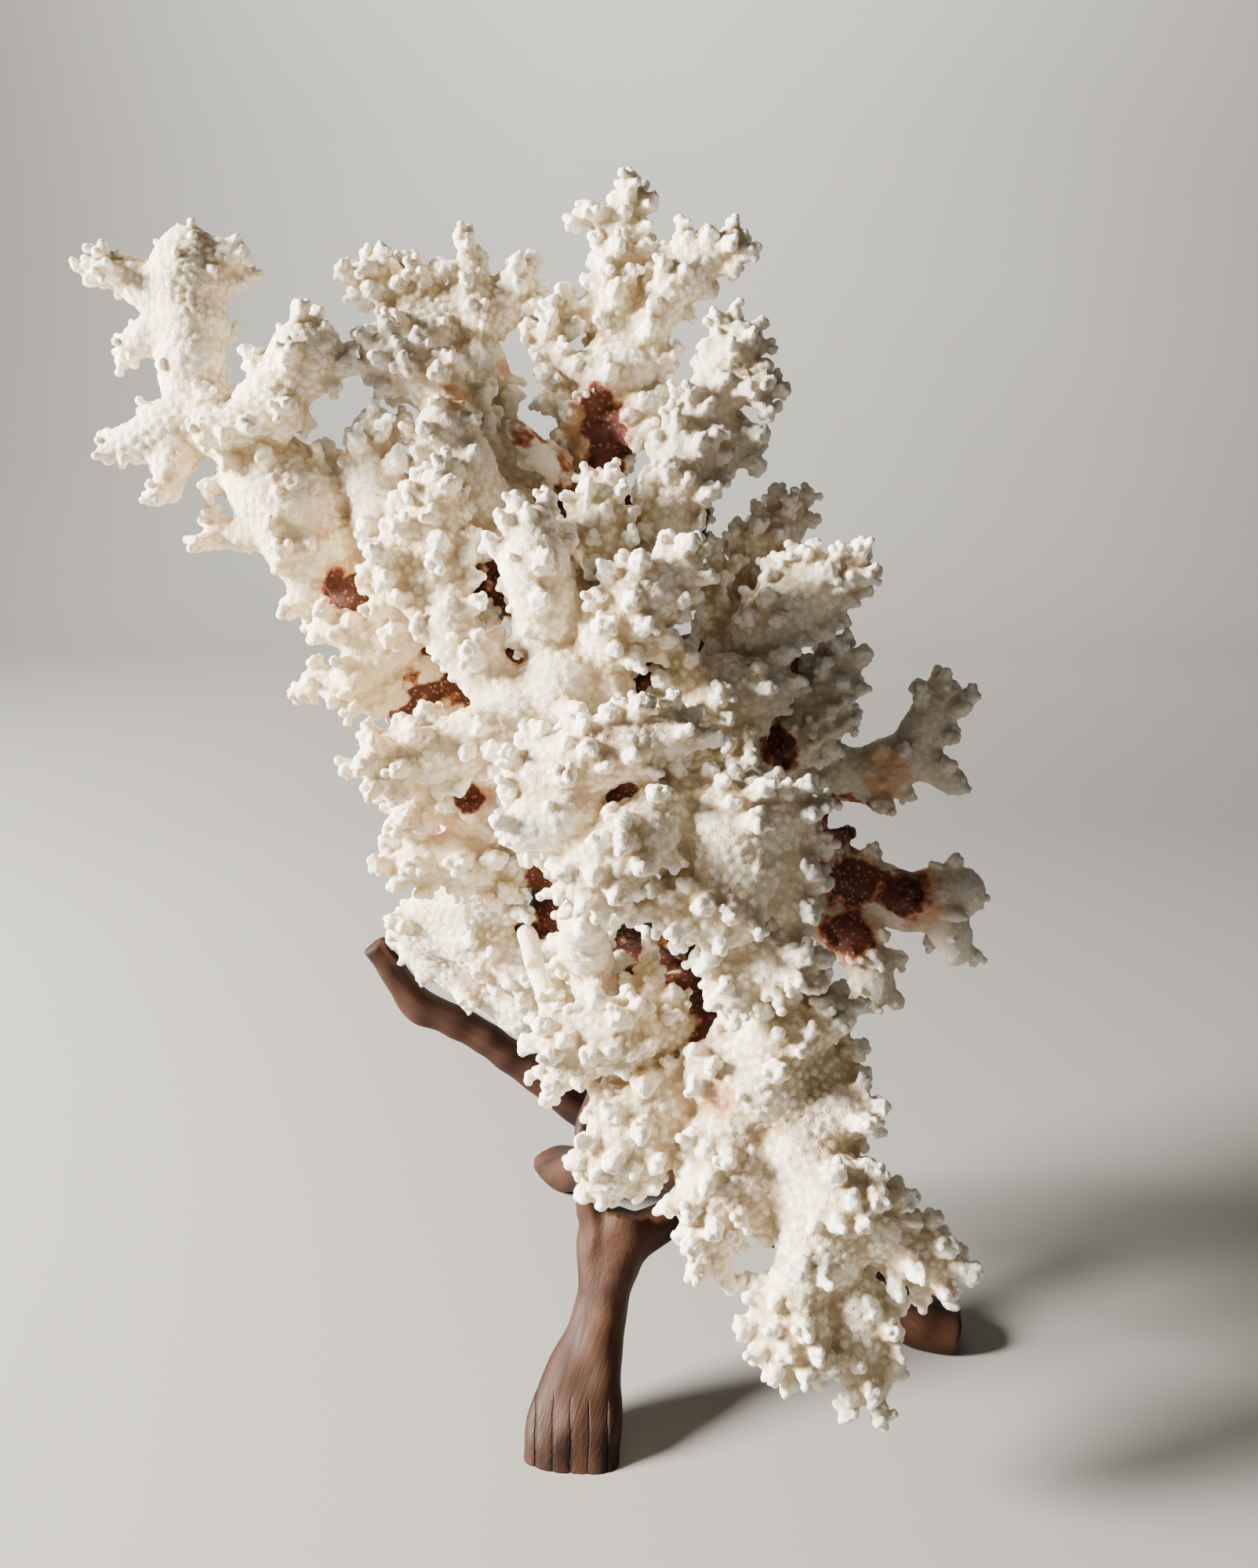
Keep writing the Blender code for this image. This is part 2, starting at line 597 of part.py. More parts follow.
    ("thin_stems", [[(-26, -38, -6, 3.2), (-24, -46, -8, 3), (-20, -58, -16, 3)]],
     1.0, False, "ivory", 0.3),
    ("low_front_upper", [[(8, -62, -22, 8), (-4, -63, -28, 10), (-16, -64, -28, 7)],
                         [(-8, -68, -28, 7), (-18, -74, -27, 5)],
                         [(1, -62, -22, 5), (2, -55, -20, 3.3), (4, -48, -18, 3.3), (6, -42, -16, 3)]],
     0.75, True, "ivory", 1.3),
    ("low_front_lower", [[(8, -80, -26, 9), (2, -90, -28, 11), (-5, -97, -28, 8)]],
     0.6, True, "ivory", 1.2),
    ("low_hub", [[(24, -74, -30, 10), (34, -76, -33, 10)],
                 [(30, -72, -32, 9), (40, -64, -33, 8), (53, -59, -32, 5)],
                 [(40, -74, -30, 8), (52, -74, -28, 7)],
                 [(36, -80, -33, 8), (47, -86, -34, 8), (57, -84, -34, 7)]],
     0.75, True, "ivory", 2.0),
    ("low_left_lobe", [[(26, -90, -32, 9), (24, -102, -34, 11), (22, -112, -34, 7)],
                       [(28, -98, -34, 9), (34, -108, -34, 7)],
                       [(22, -112, -34, 5), (22, -123, -34, 4)]],
     0.7, True, "ivory", 1.4),
    ("low_right_lobe", [[(44, -96, -36, 9), (52, -106, -38, 11), (50, -118, -38, 10)]],
     0.75, True, "ivory", 1.2),
    ("right_end", [[(62, -112, -38, 8), (71, -118, -38, 7.5), (77, -122, -38, 6.5)]],
     0.8, True, "ivory", 0.9),
    ("bottom_left_tip", [[(44, -126, -38, 8), (42, -138, -38, 8), (42, -146, -38, 6)],
                         [(42, -132, -38, 5), (34, -135, -38, 4)]],
     0.85, True, "ivory", 1.1),
    ("bottom_right_tip", [[(57, -130, -36, 7), (59, -142, -36, 7.5), (60, -151, -36, 6)]],
     0.85, True, "ivory", 0.9),
    ("back_left_branch", [[(-46, -8, 28, 8), (-48, 12, 34, 9), (-50, 34, 38, 9), (-56, 52, 38, 7)],
                          [(-48, 26, 36, 7), (-36, 42, 42, 6)]],
     0.9, True, "ivory", 1.3),
    ("back_middle_branch", [[(-14, 8, 26, 9), (-12, 30, 38, 9), (-14, 56, 42, 9), (-20, 78, 40, 7)],
                            [(-12, 40, 40, 7), (2, 56, 46, 6)]],
     0.9, True, "ivory", 1.3),
    ("back_right_branch", [[(28, -24, 34, 9), (34, -6, 46, 9), (38, 16, 50, 9), (44, 34, 48, 7)],
                           [(34, 0, 46, 7), (22, 18, 56, 6)]],
     0.9, True, "ivory", 1.3),
]


def build_stand(paint):
    front = build_leg("front_leg", [FRONT_LEG, FRONT_LEFT_PRONG, FRONT_RIGHT_PRONG, FRONT_ARM],
                      True, paint)
    right = build_leg("right_leg", [RIGHT_LEG], False, paint)
    rear = build_leg("rear_leg", [REAR_LEG], False, paint)
    return [front, right, rear]


def build_coral(stand, paints):
    chance = random.Random(SEED)
    done = list(stand)
    for name, strokes, flat, knobs, colour, share in LIMBS:
        limb = put(name, limb_mesh(name, strokes, flat, knobs, chance))
        fuse(limb, int(FACES * share))
        if name == "base_crust":
            cut_broken_face(limb)
        trim(limb, done)
        limb.data.materials.clear()
        limb.data.materials.append(paints[colour])
        done.append(limb)
    return done


def centre_on_ground(items):
    """Bring the middle of the whole piece over the origin, feet on z = 0."""
    spans = [reach(item) for item in items]
    low = Vector([min(s[0][i] for s in spans) for i in range(3)])
    high = Vector([max(s[1][i] for s in spans) for i in range(3)])
    shift = Vector((-(low.x + high.x) / 2.0, -(low.y + high.y) / 2.0, -low.z))
    for item in items:
        for vert in item.data.vertices:
            vert.co += shift
        item.data.update()


def main():
    clear_scene()
    paints = {"ivory": material("ivory_coral", IVORY, 0.75),
              "heart": material("red_brown_coral", HEART, 0.7),
              "porous": material("porous_coral", POROUS, 0.85)}
    stand = build_stand(material("carved_wood", BROWN, 0.45))
    everything = build_coral(stand, paints)
    centre_on_ground(everything)


main()
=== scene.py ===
"""The looks of the branching coral and its carved stand.

The coral's limbs are grown here along the strokes of its solids. Round masses
are fused into one skin, branchlets and teeth are set on it and fused in turn,
and low warts are raised on the last skin. Colours come from procedural
materials, steered by a few values that are stored at each point of the mesh.
Places on the coral are written as the camera sees them: millimetres right, up
and behind the plane through the middle of the piece.
"""
import math
from dataclasses import dataclass

import bmesh
import bpy
import numpy as np
from mathutils import Matrix, Vector
from mathutils.kdtree import KDTree

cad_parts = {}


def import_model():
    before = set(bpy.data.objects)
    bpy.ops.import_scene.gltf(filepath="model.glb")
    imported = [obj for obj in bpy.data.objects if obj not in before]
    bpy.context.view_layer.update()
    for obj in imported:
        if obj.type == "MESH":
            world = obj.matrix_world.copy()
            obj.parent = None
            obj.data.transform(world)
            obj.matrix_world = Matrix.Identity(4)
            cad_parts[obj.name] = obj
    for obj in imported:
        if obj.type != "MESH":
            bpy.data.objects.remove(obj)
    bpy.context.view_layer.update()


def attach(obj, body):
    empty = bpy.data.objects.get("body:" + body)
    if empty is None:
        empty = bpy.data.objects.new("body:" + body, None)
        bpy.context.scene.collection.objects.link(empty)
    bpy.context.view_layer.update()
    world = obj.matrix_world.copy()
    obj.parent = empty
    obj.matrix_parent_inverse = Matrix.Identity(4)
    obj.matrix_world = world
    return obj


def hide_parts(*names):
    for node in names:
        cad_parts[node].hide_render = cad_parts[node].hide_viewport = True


MM = 0.001
SEED = 5

# The camera, and the plane that the coral's places are measured on
EYE = np.array((19.987, -312.046, 233.0))
PITCH = math.radians(14.2)
PLANE = 321.2
LENS = 28.9
SENSOR = 36.0
AHEAD = np.array((0.0, math.cos(PITCH), -math.sin(PITCH)))
ACROSS = np.array((1.0, 0.0, 0.0))
UPWARD = np.array((0.0, math.sin(PITCH), math.cos(PITCH)))

# The limbs' round masses: the step between them and their unevenness, both in
# radii, how slim they are where branchlets fill the limb out, and how finely
# each ball is divided
BALL_STEP = 0.4
WOBBLE = 0.10
SLIM = 0.88
BALL_FINENESS = 2

# The skins: the voxel in millimetres and the rounds of smoothing after it
CRUST_SKIN = (1.2, 4)
LIMB_SKIN = (1.2, 3)
BRANCHLET_SKIN = (0.8, 2)
TOOTH_SKIN = (0.6, 2)
LEG_SKIN = (0.8, 3)
SMOOTHING = 0.5
CORAL_TRIANGLES = 900000

# How rims, relief and valleys are found: the rounds of smoothing that the skin
# is held against, and the height in millimetres that counts as full. A rim's
# value is its height times the gain, less the loss.
RIM_ROUNDS = 14
RIM_GAIN = 1.7
RIM_LOSS = 0.3
RELIEF_ROUNDS = 8
RELIEF_SPAN = 0.35
VALLEY_ROUNDS = 45
VALLEY_SPAN = 1.3

# How quickly a side counts as turned away from the camera
REAR_GAIN = 2.0

# Scattering: the tries for each place that is wanted, and how many balls are
# looked at to find a point's limb
TRIES = 5
NEAR_BALLS = 12

# The branchlets' and teeth's unevenness: how far they stray from their
# direction, and the least and greatest share of their full height
FINGER_STRAY = 0.12
FINGER_REACH = (0.6, 1.15)

# The low warts, in millimetres: how far apart, least and greatest radius, and
# how high, with the least and greatest share of that height, and the shares on
# flat skin and what a rim adds
WART_STEP = 1.7
WART_SIZE = (0.9, 1.25)
WART_RISE = 0.7
WART_UNEVENNESS = (0.6, 1.3)
WART_FLAT = 0.55
WART_RIM = 0.65
WART_FACING_ROUNDS = 3

# The pits in the broken faces: their depth in millimetres, and how many of the
# places there have one
PIT_DEPTH = 0.8
PIT_SHARE = 0.6

# The broken faces of the base: the ends of their edge, right and up, then how
# deep each face's edge lies and how far it leans, how thick a layer counts as
# broken, how far it goes past the edge's start, and between which depths
BROKEN_EDGE = ((-57, -49), (-20, -70))
BROKEN_CUTS = ((20, 0.0), (11, 0.8))
BROKEN_LAYER = 0.8
BROKEN_OVERHANG = 6.0
BROKEN_DEPTHS = (0.0, 50.0)

# The limbs: how thick along the line of sight, as a share, and the strokes as
# points of right, up, back and radius
LIMBS = {
    "base_crust": (1.0, [
        [(-52, -40, 25, 9), (-40, -47, 26, 11), (-26, -55, 26, 12), (-10, -57, 27, 11),
         (6, -55, 27, 10), (22, -52, 25, 9)],
        [(-40, -38, 36, 10), (-16, -44, 44, 12), (10, -46, 42, 10)],
        [(-55, -36, 16, 7), (-46, -38, 13, 8), (-36, -42, 12, 8.5), (-27, -48, 12, 8),
         (-20, -54, 12, 7)],
        [(-51, -30, 13, 6), (-42, -31, 11, 7), (-33, -33, 11, 6)]]),
    "left_trunk": (1.0, [
        [(-40, -30, 22, 9), (-47, -5, 16, 9), (-51, 15, 8, 9), (-60, 35, 2, 9), (-70, 46, -3, 9)],
        [(-54, 22, 12, 10), (-40, 26, 10, 10), (-24, 30, 12, 9)],
        [(-46, 46, 8, 8), (-34, 50, 10, 8), (-18, 52, 10, 8)],
        [(-46, -14, 16, 9), (-30, -16, 14, 9), (-12, -20, 14, 9)],
        [(-24, -40, 30, 6), (-14, -42, 26, 8), (-4, -42, 22, 8), (12, -42, 18, 8)]]),
    "middle_trunk": (1.0, [
        [(-16, -34, 24, 10), (-15, -8, 16, 10), (-12, 22, 8, 10), (-12, 50, 6, 10),
         (-10, 72, 3, 9)],
        [(-12, 20, 10, 9), (4, 26, 10, 10), (20, 30, 10, 10), (34, 24, 8, 9)],
        [(-12, -4, 14, 9), (8, -6, 12, 9), (26, -4, 14, 9)],
        [(-10, 66, 6, 7), (2, 68, 4, 7), (14, 66, 4, 7)],
        [(-10, 68, -2, 6), (-14, 75, -8, 3.5), (-22, 83, -11, 3.5), (-29, 91, -12, 3)]]),
    "right_trunk": (1.0, [
        [(14, -38, 24, 9), (26, -20, 22, 9), (36, 0, 18, 9), (38, 22, 10, 8), (34, 40, 2, 8)]]),
    "front_stem": (1.0, [[(-6, -42, 18, 8), (8, -52, 6, 9), (16, -60, -8, 9), (22, -70, -20, 9)]]),
    "upper_left_stem": (0.85, [
        [(-76, 53, -5, 9), (-81, 63, -8, 11.5), (-86, 73, -10, 12.5), (-95, 84, -10, 10.5)],
        [(-86, 66, -8, 7), (-96, 64, -8, 4.5), (-105, 63, -8, 3.5)],
        [(-80, 52, -6, 6), (-83, 46, -6, 4)], [(-92, 76, -10, 7), (-103, 77, -8, 3.5)]]),
    "upper_left_crown": (0.85, [
        [(-103, 91, -10, 8.5), (-111, 101, -10, 7.5), (-112, 114, -10, 8.5),
         (-112, 127, -10, 9.5), (-112, 134, -10, 8)],
        [(-112, 130, -10, 6), (-100, 135, -10, 4.5)],
        [(-118, 124, -10, 6), (-132, 132, -10, 4.5)], [(-114, 116, -10, 6), (-128, 112, -10, 4)],
        [(-114, 92, -10, 7), (-124, 88, -10, 5.5), (-131, 86, -10, 4)],
        [(-115, 88, -10, 6), (-118, 75, -10, 3.5)]]),
    "upper_left_fork": (0.85, [
        [(-95, 92, -16, 8), (-89, 101, -18, 8), (-83, 109, -19, 8), (-80, 112, -19, 6.5)],
        [(-90, 94, -20, 6), (-107, 90, -24, 4)]]),
    "left_side_upper": (0.9, [
        [(-60, 36, -8, 7), (-68, 38, -10, 6), (-77, 41, -10, 5)],
        [(-62, 33, -8, 6), (-70, 28, -10, 6)]]),
    "left_side_lower": (0.9, [
        [(-59, 24, 2, 5), (-62, 24, -4, 6), (-72, 25, -6, 5.5), (-80, 26, -6, 4)]]),
    "cream_lobe": (0.8, [
        [(-60, 38, 0, 8), (-58, 52, -8, 8), (-62, 66, -12, 9), (-66, 80, -14, 8.5),
         (-65, 91, -14, 6)]]),
    "top_left_stem": (0.9, [
        [(-18, 58, 8, 9), (-28, 76, 6, 9), (-37, 95, 3, 8.5), (-38, 107, 1, 8.5)]]),
    "top_left_arm": (0.85, [
        [(-44, 117, 0, 7), (-53, 124, 0, 7), (-62, 127, 0, 6), (-68, 129, 0, 4)],
        [(-50, 116, -4, 6), (-61, 117, -4, 4)]]),
    "top_left_crest": (0.85, [
        [(-38, 118, -1, 7), (-40, 127, -2, 6), (-40, 134, -2, 4)],
        [(-33, 120, -1, 6), (-28, 128, -1, 6)]]),
    "grey_lobe": (0.85, [
        [(-42, 92, -10, 8), (-48, 100, -13, 8), (-56, 106, -15, 7), (-66, 111, -17, 4)]]),
    "top_trunk": (0.9, [
        [(-9, 80, 0, 8), (-9, 94, -2, 8), (-5, 106, -4, 9)], [(-5, 106, -4, 8), (8, 107, -6, 5)],
        [(-5, 104, -5, 6), (-13, 107, -7, 4)], [(-4, 92, -4, 6), (4, 95, -8, 5)]]),
    "top_spire": (0.9, [
        [(-3, 118, -4, 7), (-3, 131, -4, 6.5), (-1, 143, -4, 6), (1, 148.5, -4, 5)],
        [(-3, 143, -4, 4), (-13, 145, -4, 3)]]),
    "top_fork": (0.9, [
        [(5, 116, -7, 6.5), (11, 126, -8, 6.5), (18, 133, -9, 6.5), (26, 137, -10, 5)],
        [(13, 130, -8, 5), (14, 139, -8, 3.5)]]),
    "thin_branch": (0.9, [
        [(-14, 90, -3, 4), (-17, 102, -3, 4), (-20, 113, -3, 5), (-16, 121, -3, 5)]]),
    "smooth_lobe": (0.85, [
        [(-27, 70, 3, 8), (-36, 68, -10, 9), (-42, 80, -16, 9), (-46, 90, -18, 8),
         (-47, 95, -18, 6)]]),
    "upper_right_stem": (0.85, [
        [(2, 56, -4, 9), (10, 68, -12, 9), (15, 84, -14, 8.5), (19, 95, -12, 8)]]),
    "upper_right_crown": (0.85, [
        [(23, 103, -12, 7.5), (28, 111, -12, 7)], [(24, 102, -14, 6), (33, 101, -14, 5)],
        [(20, 92, -10, 7), (30, 85, -10, 5)]]),
    "right_back_lobe": (0.9, [[(32, 48, 0, 8), (33, 60, 0, 8), (41, 67, 2, 6)]]),
    "right_upper_branch": (0.8, [
        [(34, 34, 0, 8), (29, 34, -14, 8), (38, 42, -18, 9), (48, 50, -20, 9), (57, 55, -20, 5)],
        [(40, 46, -18, 6), (40, 56, -18, 4)],
        [(26, 36, -12, 6), (22, 46, -7, 5), (23, 54, -6, 4)]]),
    "right_mid_lobe": (0.8, [
        [(37, 4, 12, 8), (40, 8, -8, 8), (46, 18, -12, 9), (54, 29, -14, 6.5)]]),
    "right_high_arm": (0.9, [
        [(48, 4, 16, 7), (62, 2, 14, 8), (71, 7, 12, 6), (76, 15, 12, 6), (80, 22, 12, 6)],
        [(76, 5, 12, 5), (84, 0, 12, 3.5)]]),
    "right_arm": (0.9, [
        [(32, -12, 20, 8), (44, -16, 18, 8), (56, -24, 16, 8), (70, -30, 14, 8),
         (84, -28, 12, 8)],
        [(80, -34, 14, 6), (84, -42, 14, 5)]]),
    "right_low_blade": (0.8, [
        [(30, -26, 21, 8), (48, -32, 18, 8), (58, -40, 16, 8), (62, -48, 14, 7),
         (62, -56, 13, 4)]]),
    "broad_lobe": (0.7, [
        [(-9, 36, 2, 7), (-6, 37, -16, 7), (-3, 40, -30, 11), (2, 48, -35, 10), (13, 54, -34, 7)]]),
    "tall_smooth_lobe": (0.8, [
        [(-13, 22, 4, 8), (-18, 30, -18, 9), (-22, 44, -30, 9), (-24, 56, -33, 9),
         (-24, 64, -33, 8)]]),
    "spiky_cluster": (0.8, [[(-10, 54, -8, 8), (-8, 64, -18, 9), (-7, 71, -20, 6.5)]]),
    "left_front_lobe": (0.75, [
        [(-42, 41, 2, 6), (-43, 41, -14, 6.5), (-50, 48, -22, 10), (-60, 56, -24, 9)],
        [(-48, 54, -24, 9), (-50, 66, -26, 8), (-49, 75, -26, 6)]]),
    "star_hub": (0.7, [
        [(-16, -4, 10, 8), (-24, 2, -12, 9), (-29, 20, -26, 11), (-17, 25, -27, 11),
         (-6, 25, -26, 8)],
        [(-36, 27, -26, 8), (-46, 39, -28, 7), (-45, 48, -28, 5)]]),
    "star_left_arm": (0.8, [[(-36, 11, -30, 8.5), (-50, 8, -31, 8.5), (-62, 7, -31, 7.5)]]),
    "centre_right_lobe": (0.7, [
        [(33, 2, 14, 8), (24, 8, -4, 8), (16, 14, -18, 8), (21, 23, -24, 9), (34, 25, -25, 9)],
        [(15, 26, -26, 7), (13, 34, -27, 4.5)],
        [(32, 18, -22, 6), (28, 8, -22, 4.5), (36, 3, -20, 4)]]),
    "left_low_upper_arm": (0.85, [
        [(-42, -12, 12, 8), (-36, -8, -8, 8), (-46, -4, -14, 7), (-57, -5, -16, 5.5)],
        [(-50, -2, -14, 6), (-64, 4, -14, 4)]]),
    "left_low_lower_arm": (0.85, [
        [(-37, -27, 16, 8), (-34, -22, 2, 8), (-44, -18, -8, 8), (-54, -20, -10, 6),
         (-61, -20, -10, 4)]]),
    "front_crest_lobe": (0.75, [
        [(-15, -12, 10, 8), (-20, -12, -14, 8), (-22, -8, -30, 9), (-20, 2, -42, 10),
         (-6, 8, -46, 9), (12, 13, -46, 6.5)]]),
    "bulb_lobe": (0.85, [
        [(-16, -8, -36, 7), (-10, -10, -44, 7), (-18, -10, -47, 7), (-28, -11, -47, 6)]]),
    "diagonal_lobe": (0.8, [
        [(14, -4, -42, 8), (8, -9, -47, 8), (0, -16, -49, 9), (-10, -24, -48, 8)]]),
    "right_front_lobe": (0.6, [
        [(27, -16, 14, 8), (24, -12, -16, 8), (18, -10, -42, 10), (28, -10, -46, 12),
         (40, -8, -44, 9)],
        [(28, -14, -46, 11), (24, -30, -45, 12), (14, -32, -44, 8)],
        [(38, -14, -44, 9), (42, -30, -42, 7)]]),
    "right_front_low": (0.7, [
        [(26, -38, -38, 8), (26, -46, -40, 7), (27, -53, -40, 6)],
        [(30, -44, -40, 7), (40, -46, -42, 8)]]),
    "cream_stem": (0.9, [
        [(-8, -52, 12, 8), (-9, -49, -10, 6.5), (-11, -42, -24, 6.5), (-12, -34, -36, 6.5)]]),
    "thin_stems": (1.0, [[(-26, -38, -6, 3.2), (-24, -46, -8, 3), (-20, -58, -16, 3)]]),
    "low_front_upper": (0.75, [
        [(8, -62, -22, 8), (-4, -63, -28, 10), (-16, -64, -28, 7)],
        [(-8, -68, -28, 7), (-18, -74, -27, 5)],
        [(1, -62, -22, 5), (2, -55, -20, 3.3), (4, -48, -18, 3.3), (6, -42, -16, 3)]]),
    "low_front_lower": (0.6, [[(8, -80, -26, 9), (2, -90, -28, 11), (-5, -97, -28, 8)]]),
    "low_hub": (0.75, [
        [(24, -74, -30, 10), (34, -76, -33, 10)],
        [(30, -72, -32, 9), (40, -64, -33, 8), (53, -59, -32, 5)],
        [(40, -74, -30, 8), (52, -74, -28, 7)],
        [(36, -80, -33, 8), (47, -86, -34, 8), (57, -84, -34, 7)]]),
    "low_left_lobe": (0.7, [
        [(26, -90, -32, 9), (24, -102, -34, 11), (22, -112, -34, 7)],
        [(28, -98, -34, 9), (34, -108, -34, 7)], [(22, -112, -34, 5), (22, -123, -34, 4)]]),
    "low_right_lobe": (0.75, [[(44, -96, -36, 9), (52, -106, -38, 11), (50, -118, -38, 10)]]),
    "right_end": (0.8, [[(62, -112, -38, 8), (71, -118, -38, 7.5), (77, -122, -38, 6.5)]]),
    "bottom_left_tip": (0.85, [
        [(44, -126, -38, 8), (42, -138, -38, 8), (42, -146, -38, 6)],
        [(42, -132, -38, 5), (34, -135, -38, 4)]]),
    "bottom_right_tip": (0.85, [[(57, -130, -36, 7), (59, -142, -36, 7.5), (60, -151, -36, 6)]]),
    "back_left_branch": (0.9, [
        [(-46, -8, 28, 8), (-48, 12, 34, 9), (-50, 34, 38, 9), (-56, 52, 38, 7)],
        [(-48, 26, 36, 7), (-36, 42, 42, 6)]]),
    "back_middle_branch": (0.9, [
        [(-14, 8, 26, 9), (-12, 30, 38, 9), (-14, 56, 42, 9), (-20, 78, 40, 7)],
        [(-12, 40, 40, 7), (2, 56, 46, 6)]]),
    "back_right_branch": (0.9, [
        [(28, -24, 34, 9), (34, -6, 46, 9), (38, 16, 50, 9), (44, 34, 48, 7)],
        [(34, 0, 46, 7), (22, 18, 56, 6)]]),
}

# The pieces and their limbs, and their slots where they are not ivory coral
PIECES = {
    "upper_left_limb": ["upper_left_stem", "upper_left_crown", "upper_left_fork"],
    "left_side_limbs": [
        "left_side_upper", "left_side_lower", "cream_lobe", "left_low_upper_arm",
        "left_low_lower_arm"],
    "top_left_limbs": [
        "top_left_stem", "top_left_arm", "top_left_crest", "grey_lobe", "smooth_lobe",
        "thin_branch"],
    "top_right_limbs": [
        "top_trunk", "top_spire", "top_fork", "upper_right_stem", "upper_right_crown"],
    "middle_lobes": [
        "broad_lobe", "tall_smooth_lobe", "spiky_cluster", "star_hub", "star_left_arm",
        "left_front_lobe"],
    "right_limbs": [
        "right_back_lobe", "right_upper_branch", "right_mid_lobe", "right_high_arm",
        "centre_right_lobe", "right_arm", "right_low_blade"],
    "front_lobes": [
        "front_crest_lobe", "bulb_lobe", "diagonal_lobe", "right_front_lobe", "right_front_low",
        "cream_stem", "thin_stems"],
    "hanging_branch": [
        "low_front_upper", "low_front_lower", "low_hub", "low_left_lobe", "low_right_lobe",
        "right_end", "bottom_left_tip", "bottom_right_tip"],
    "back_branches": ["back_left_branch", "back_middle_branch", "back_right_branch"],
    "inner_stems": ["left_trunk", "middle_trunk", "right_trunk", "front_stem"],
    "broken_base": ["base_crust"],
}
SLOTS = {"inner_stems": "red_brown_coral", "broken_base": "porous_coral"}

# The inner stems, red-brown where they face the camera
HEARTS = ("left_trunk", "middle_trunk", "right_trunk", "front_stem")

# The limbs that keep their full thickness
FULL = (*HEARTS, "upper_left_stem", "upper_left_crown", "upper_left_fork", "right_high_arm",
        "low_hub", "low_left_lobe", "low_right_lobe", "right_end", "bottom_left_tip",
        "bottom_right_tip", "low_front_lower", "right_arm")

# How many branchlets, and how many teeth and warts, a limb has where it isn't
# the usual 1
BRANCHLETS = {"star_hub": 0.3, "tall_smooth_lobe": 0.45, "cream_lobe": 0.7, "bulb_lobe": 0.35,
              "cream_stem": 0.4, "thin_stems": 0.0, "top_left_stem": 0.5, "smooth_lobe": 0.9,
              "upper_left_stem": 0.5, "upper_left_crown": 0.4, "upper_left_fork": 0.5,
              "right_arm": 0.25, "right_low_blade": 0.4, "right_high_arm": 0.5,
              "base_crust": 0.8, **dict.fromkeys(HEARTS, 0.0)}
WARTS = {"star_hub": 0.8, "tall_smooth_lobe": 0.8, "cream_lobe": 0.9, "bulb_lobe": 0.8,
         "cream_stem": 0.8, "thin_stems": 0.15, "top_left_stem": 0.8, "right_arm": 0.6,
         "right_low_blade": 0.7, "right_high_arm": 0.8, **dict.fromkeys(HEARTS, 0.3)}


@dataclass
class Growth:
    """A kind of blunt finger that stands on the skin, with lengths in millimetres."""

    step: float  # how far apart they stand
    sizes: tuple  # least and greatest radius
    balls: tuple  # where each one's balls sit, in radii
    lean: float  # how much it leans along the limb
    rim_share: float  # how many of the places on a sharp rim have one
    shares: dict  # how many each limb has
    skin: tuple  # the skin that is made round them


BRANCHLET = Growth(4.4, (1.5, 2.6), (0.0, 0.7, 1.3), 0.9, 1.0, BRANCHLETS, BRANCHLET_SKIN)
TOOTH = Growth(2.4, (0.85, 1.15), (0.1, 0.7), 0.3, 0.45, WARTS, TOOTH_SKIN)

# Smooth patches: right, up, back, radius, and the share of the radius that has
# nothing standing on it
SMOOTH = [(-84, 68, -20, 4), (-45, -14, -14, 5)]
SMOOTH_CORE = 0.6

# Coloured patches: right, up, nearest and furthest depth, radius. Each is full
# up to half its radius and gone at one and a half.
RED = [(-75, 52, -40, 40, 3), (39, 9, -40, 40, 5), (-8, 80, -8, 40, 7), (-6, 88, -10, 40, 7),
       (-9, 98, -12, 40, 4), (56, -26, -40, 60, 8), (70, -28, -40, 60, 6),
       (56, -38, -40, 60, 6), (55, -9, -40, 60, 6), (-41, -4, -24, 40, 3.5),
       (-29, 80, -5, 30, 4.5), (-22, 73, -5, 30, 3.5)]
ORANGE = [(-78, 64, -40, 40, 3), (-44, 98, -40, 40, 3.5), (-31, 107, -40, 40, 2.5),
          (72, -29, -40, 60, 9), (66, 3, -40, 60, 7), (24, -80, -60, 10, 5),
          (-75, 52, -40, 40, 6), (56, -38, -40, 60, 9), (-8, 88, -14, 40, 11),
          (-42, -5, -20, 40, 8)]
YELLOW = [(-104, 76, -60, 60, 14), (-98, 60, -60, 60, 22), (-82, 40, -60, 60, 22),
          (-70, 20, -60, 60, 26), (-60, -12, -60, 60, 20), (-24, -48, -60, 0, 9),
          (2, -52, -60, 10, 7)]
# Grey patches: painted shade over the right-hand limbs, and a greyer tone on the lobes higher up
GREY_AND_SHADE = [(-62, 108, -60, 60, 14), (-40, 90, -60, 60, 14), (70, -20, -60, 80, 34),
        (76, 8, -60, 80, 24), (24, 92, -60, 60, 20), (50, 30, -60, 80, 22)]
PATCH_EDGE = 1.5

# How far the red-brown goes past the inner stems, in millimetres, and where it
# is bleached: right, up or back, the start of the fade and its width, negative
# where it runs down
HEART_REACH = 1.6
BLEACH = 0.7
RIGHT, UP, BACK = range(3)
BLEACHED = ((RIGHT, -9.0, -4.0), (RIGHT, -36.0, 4.0), (UP, 72.0, 5.0), (BACK, 3.0, -4.0))

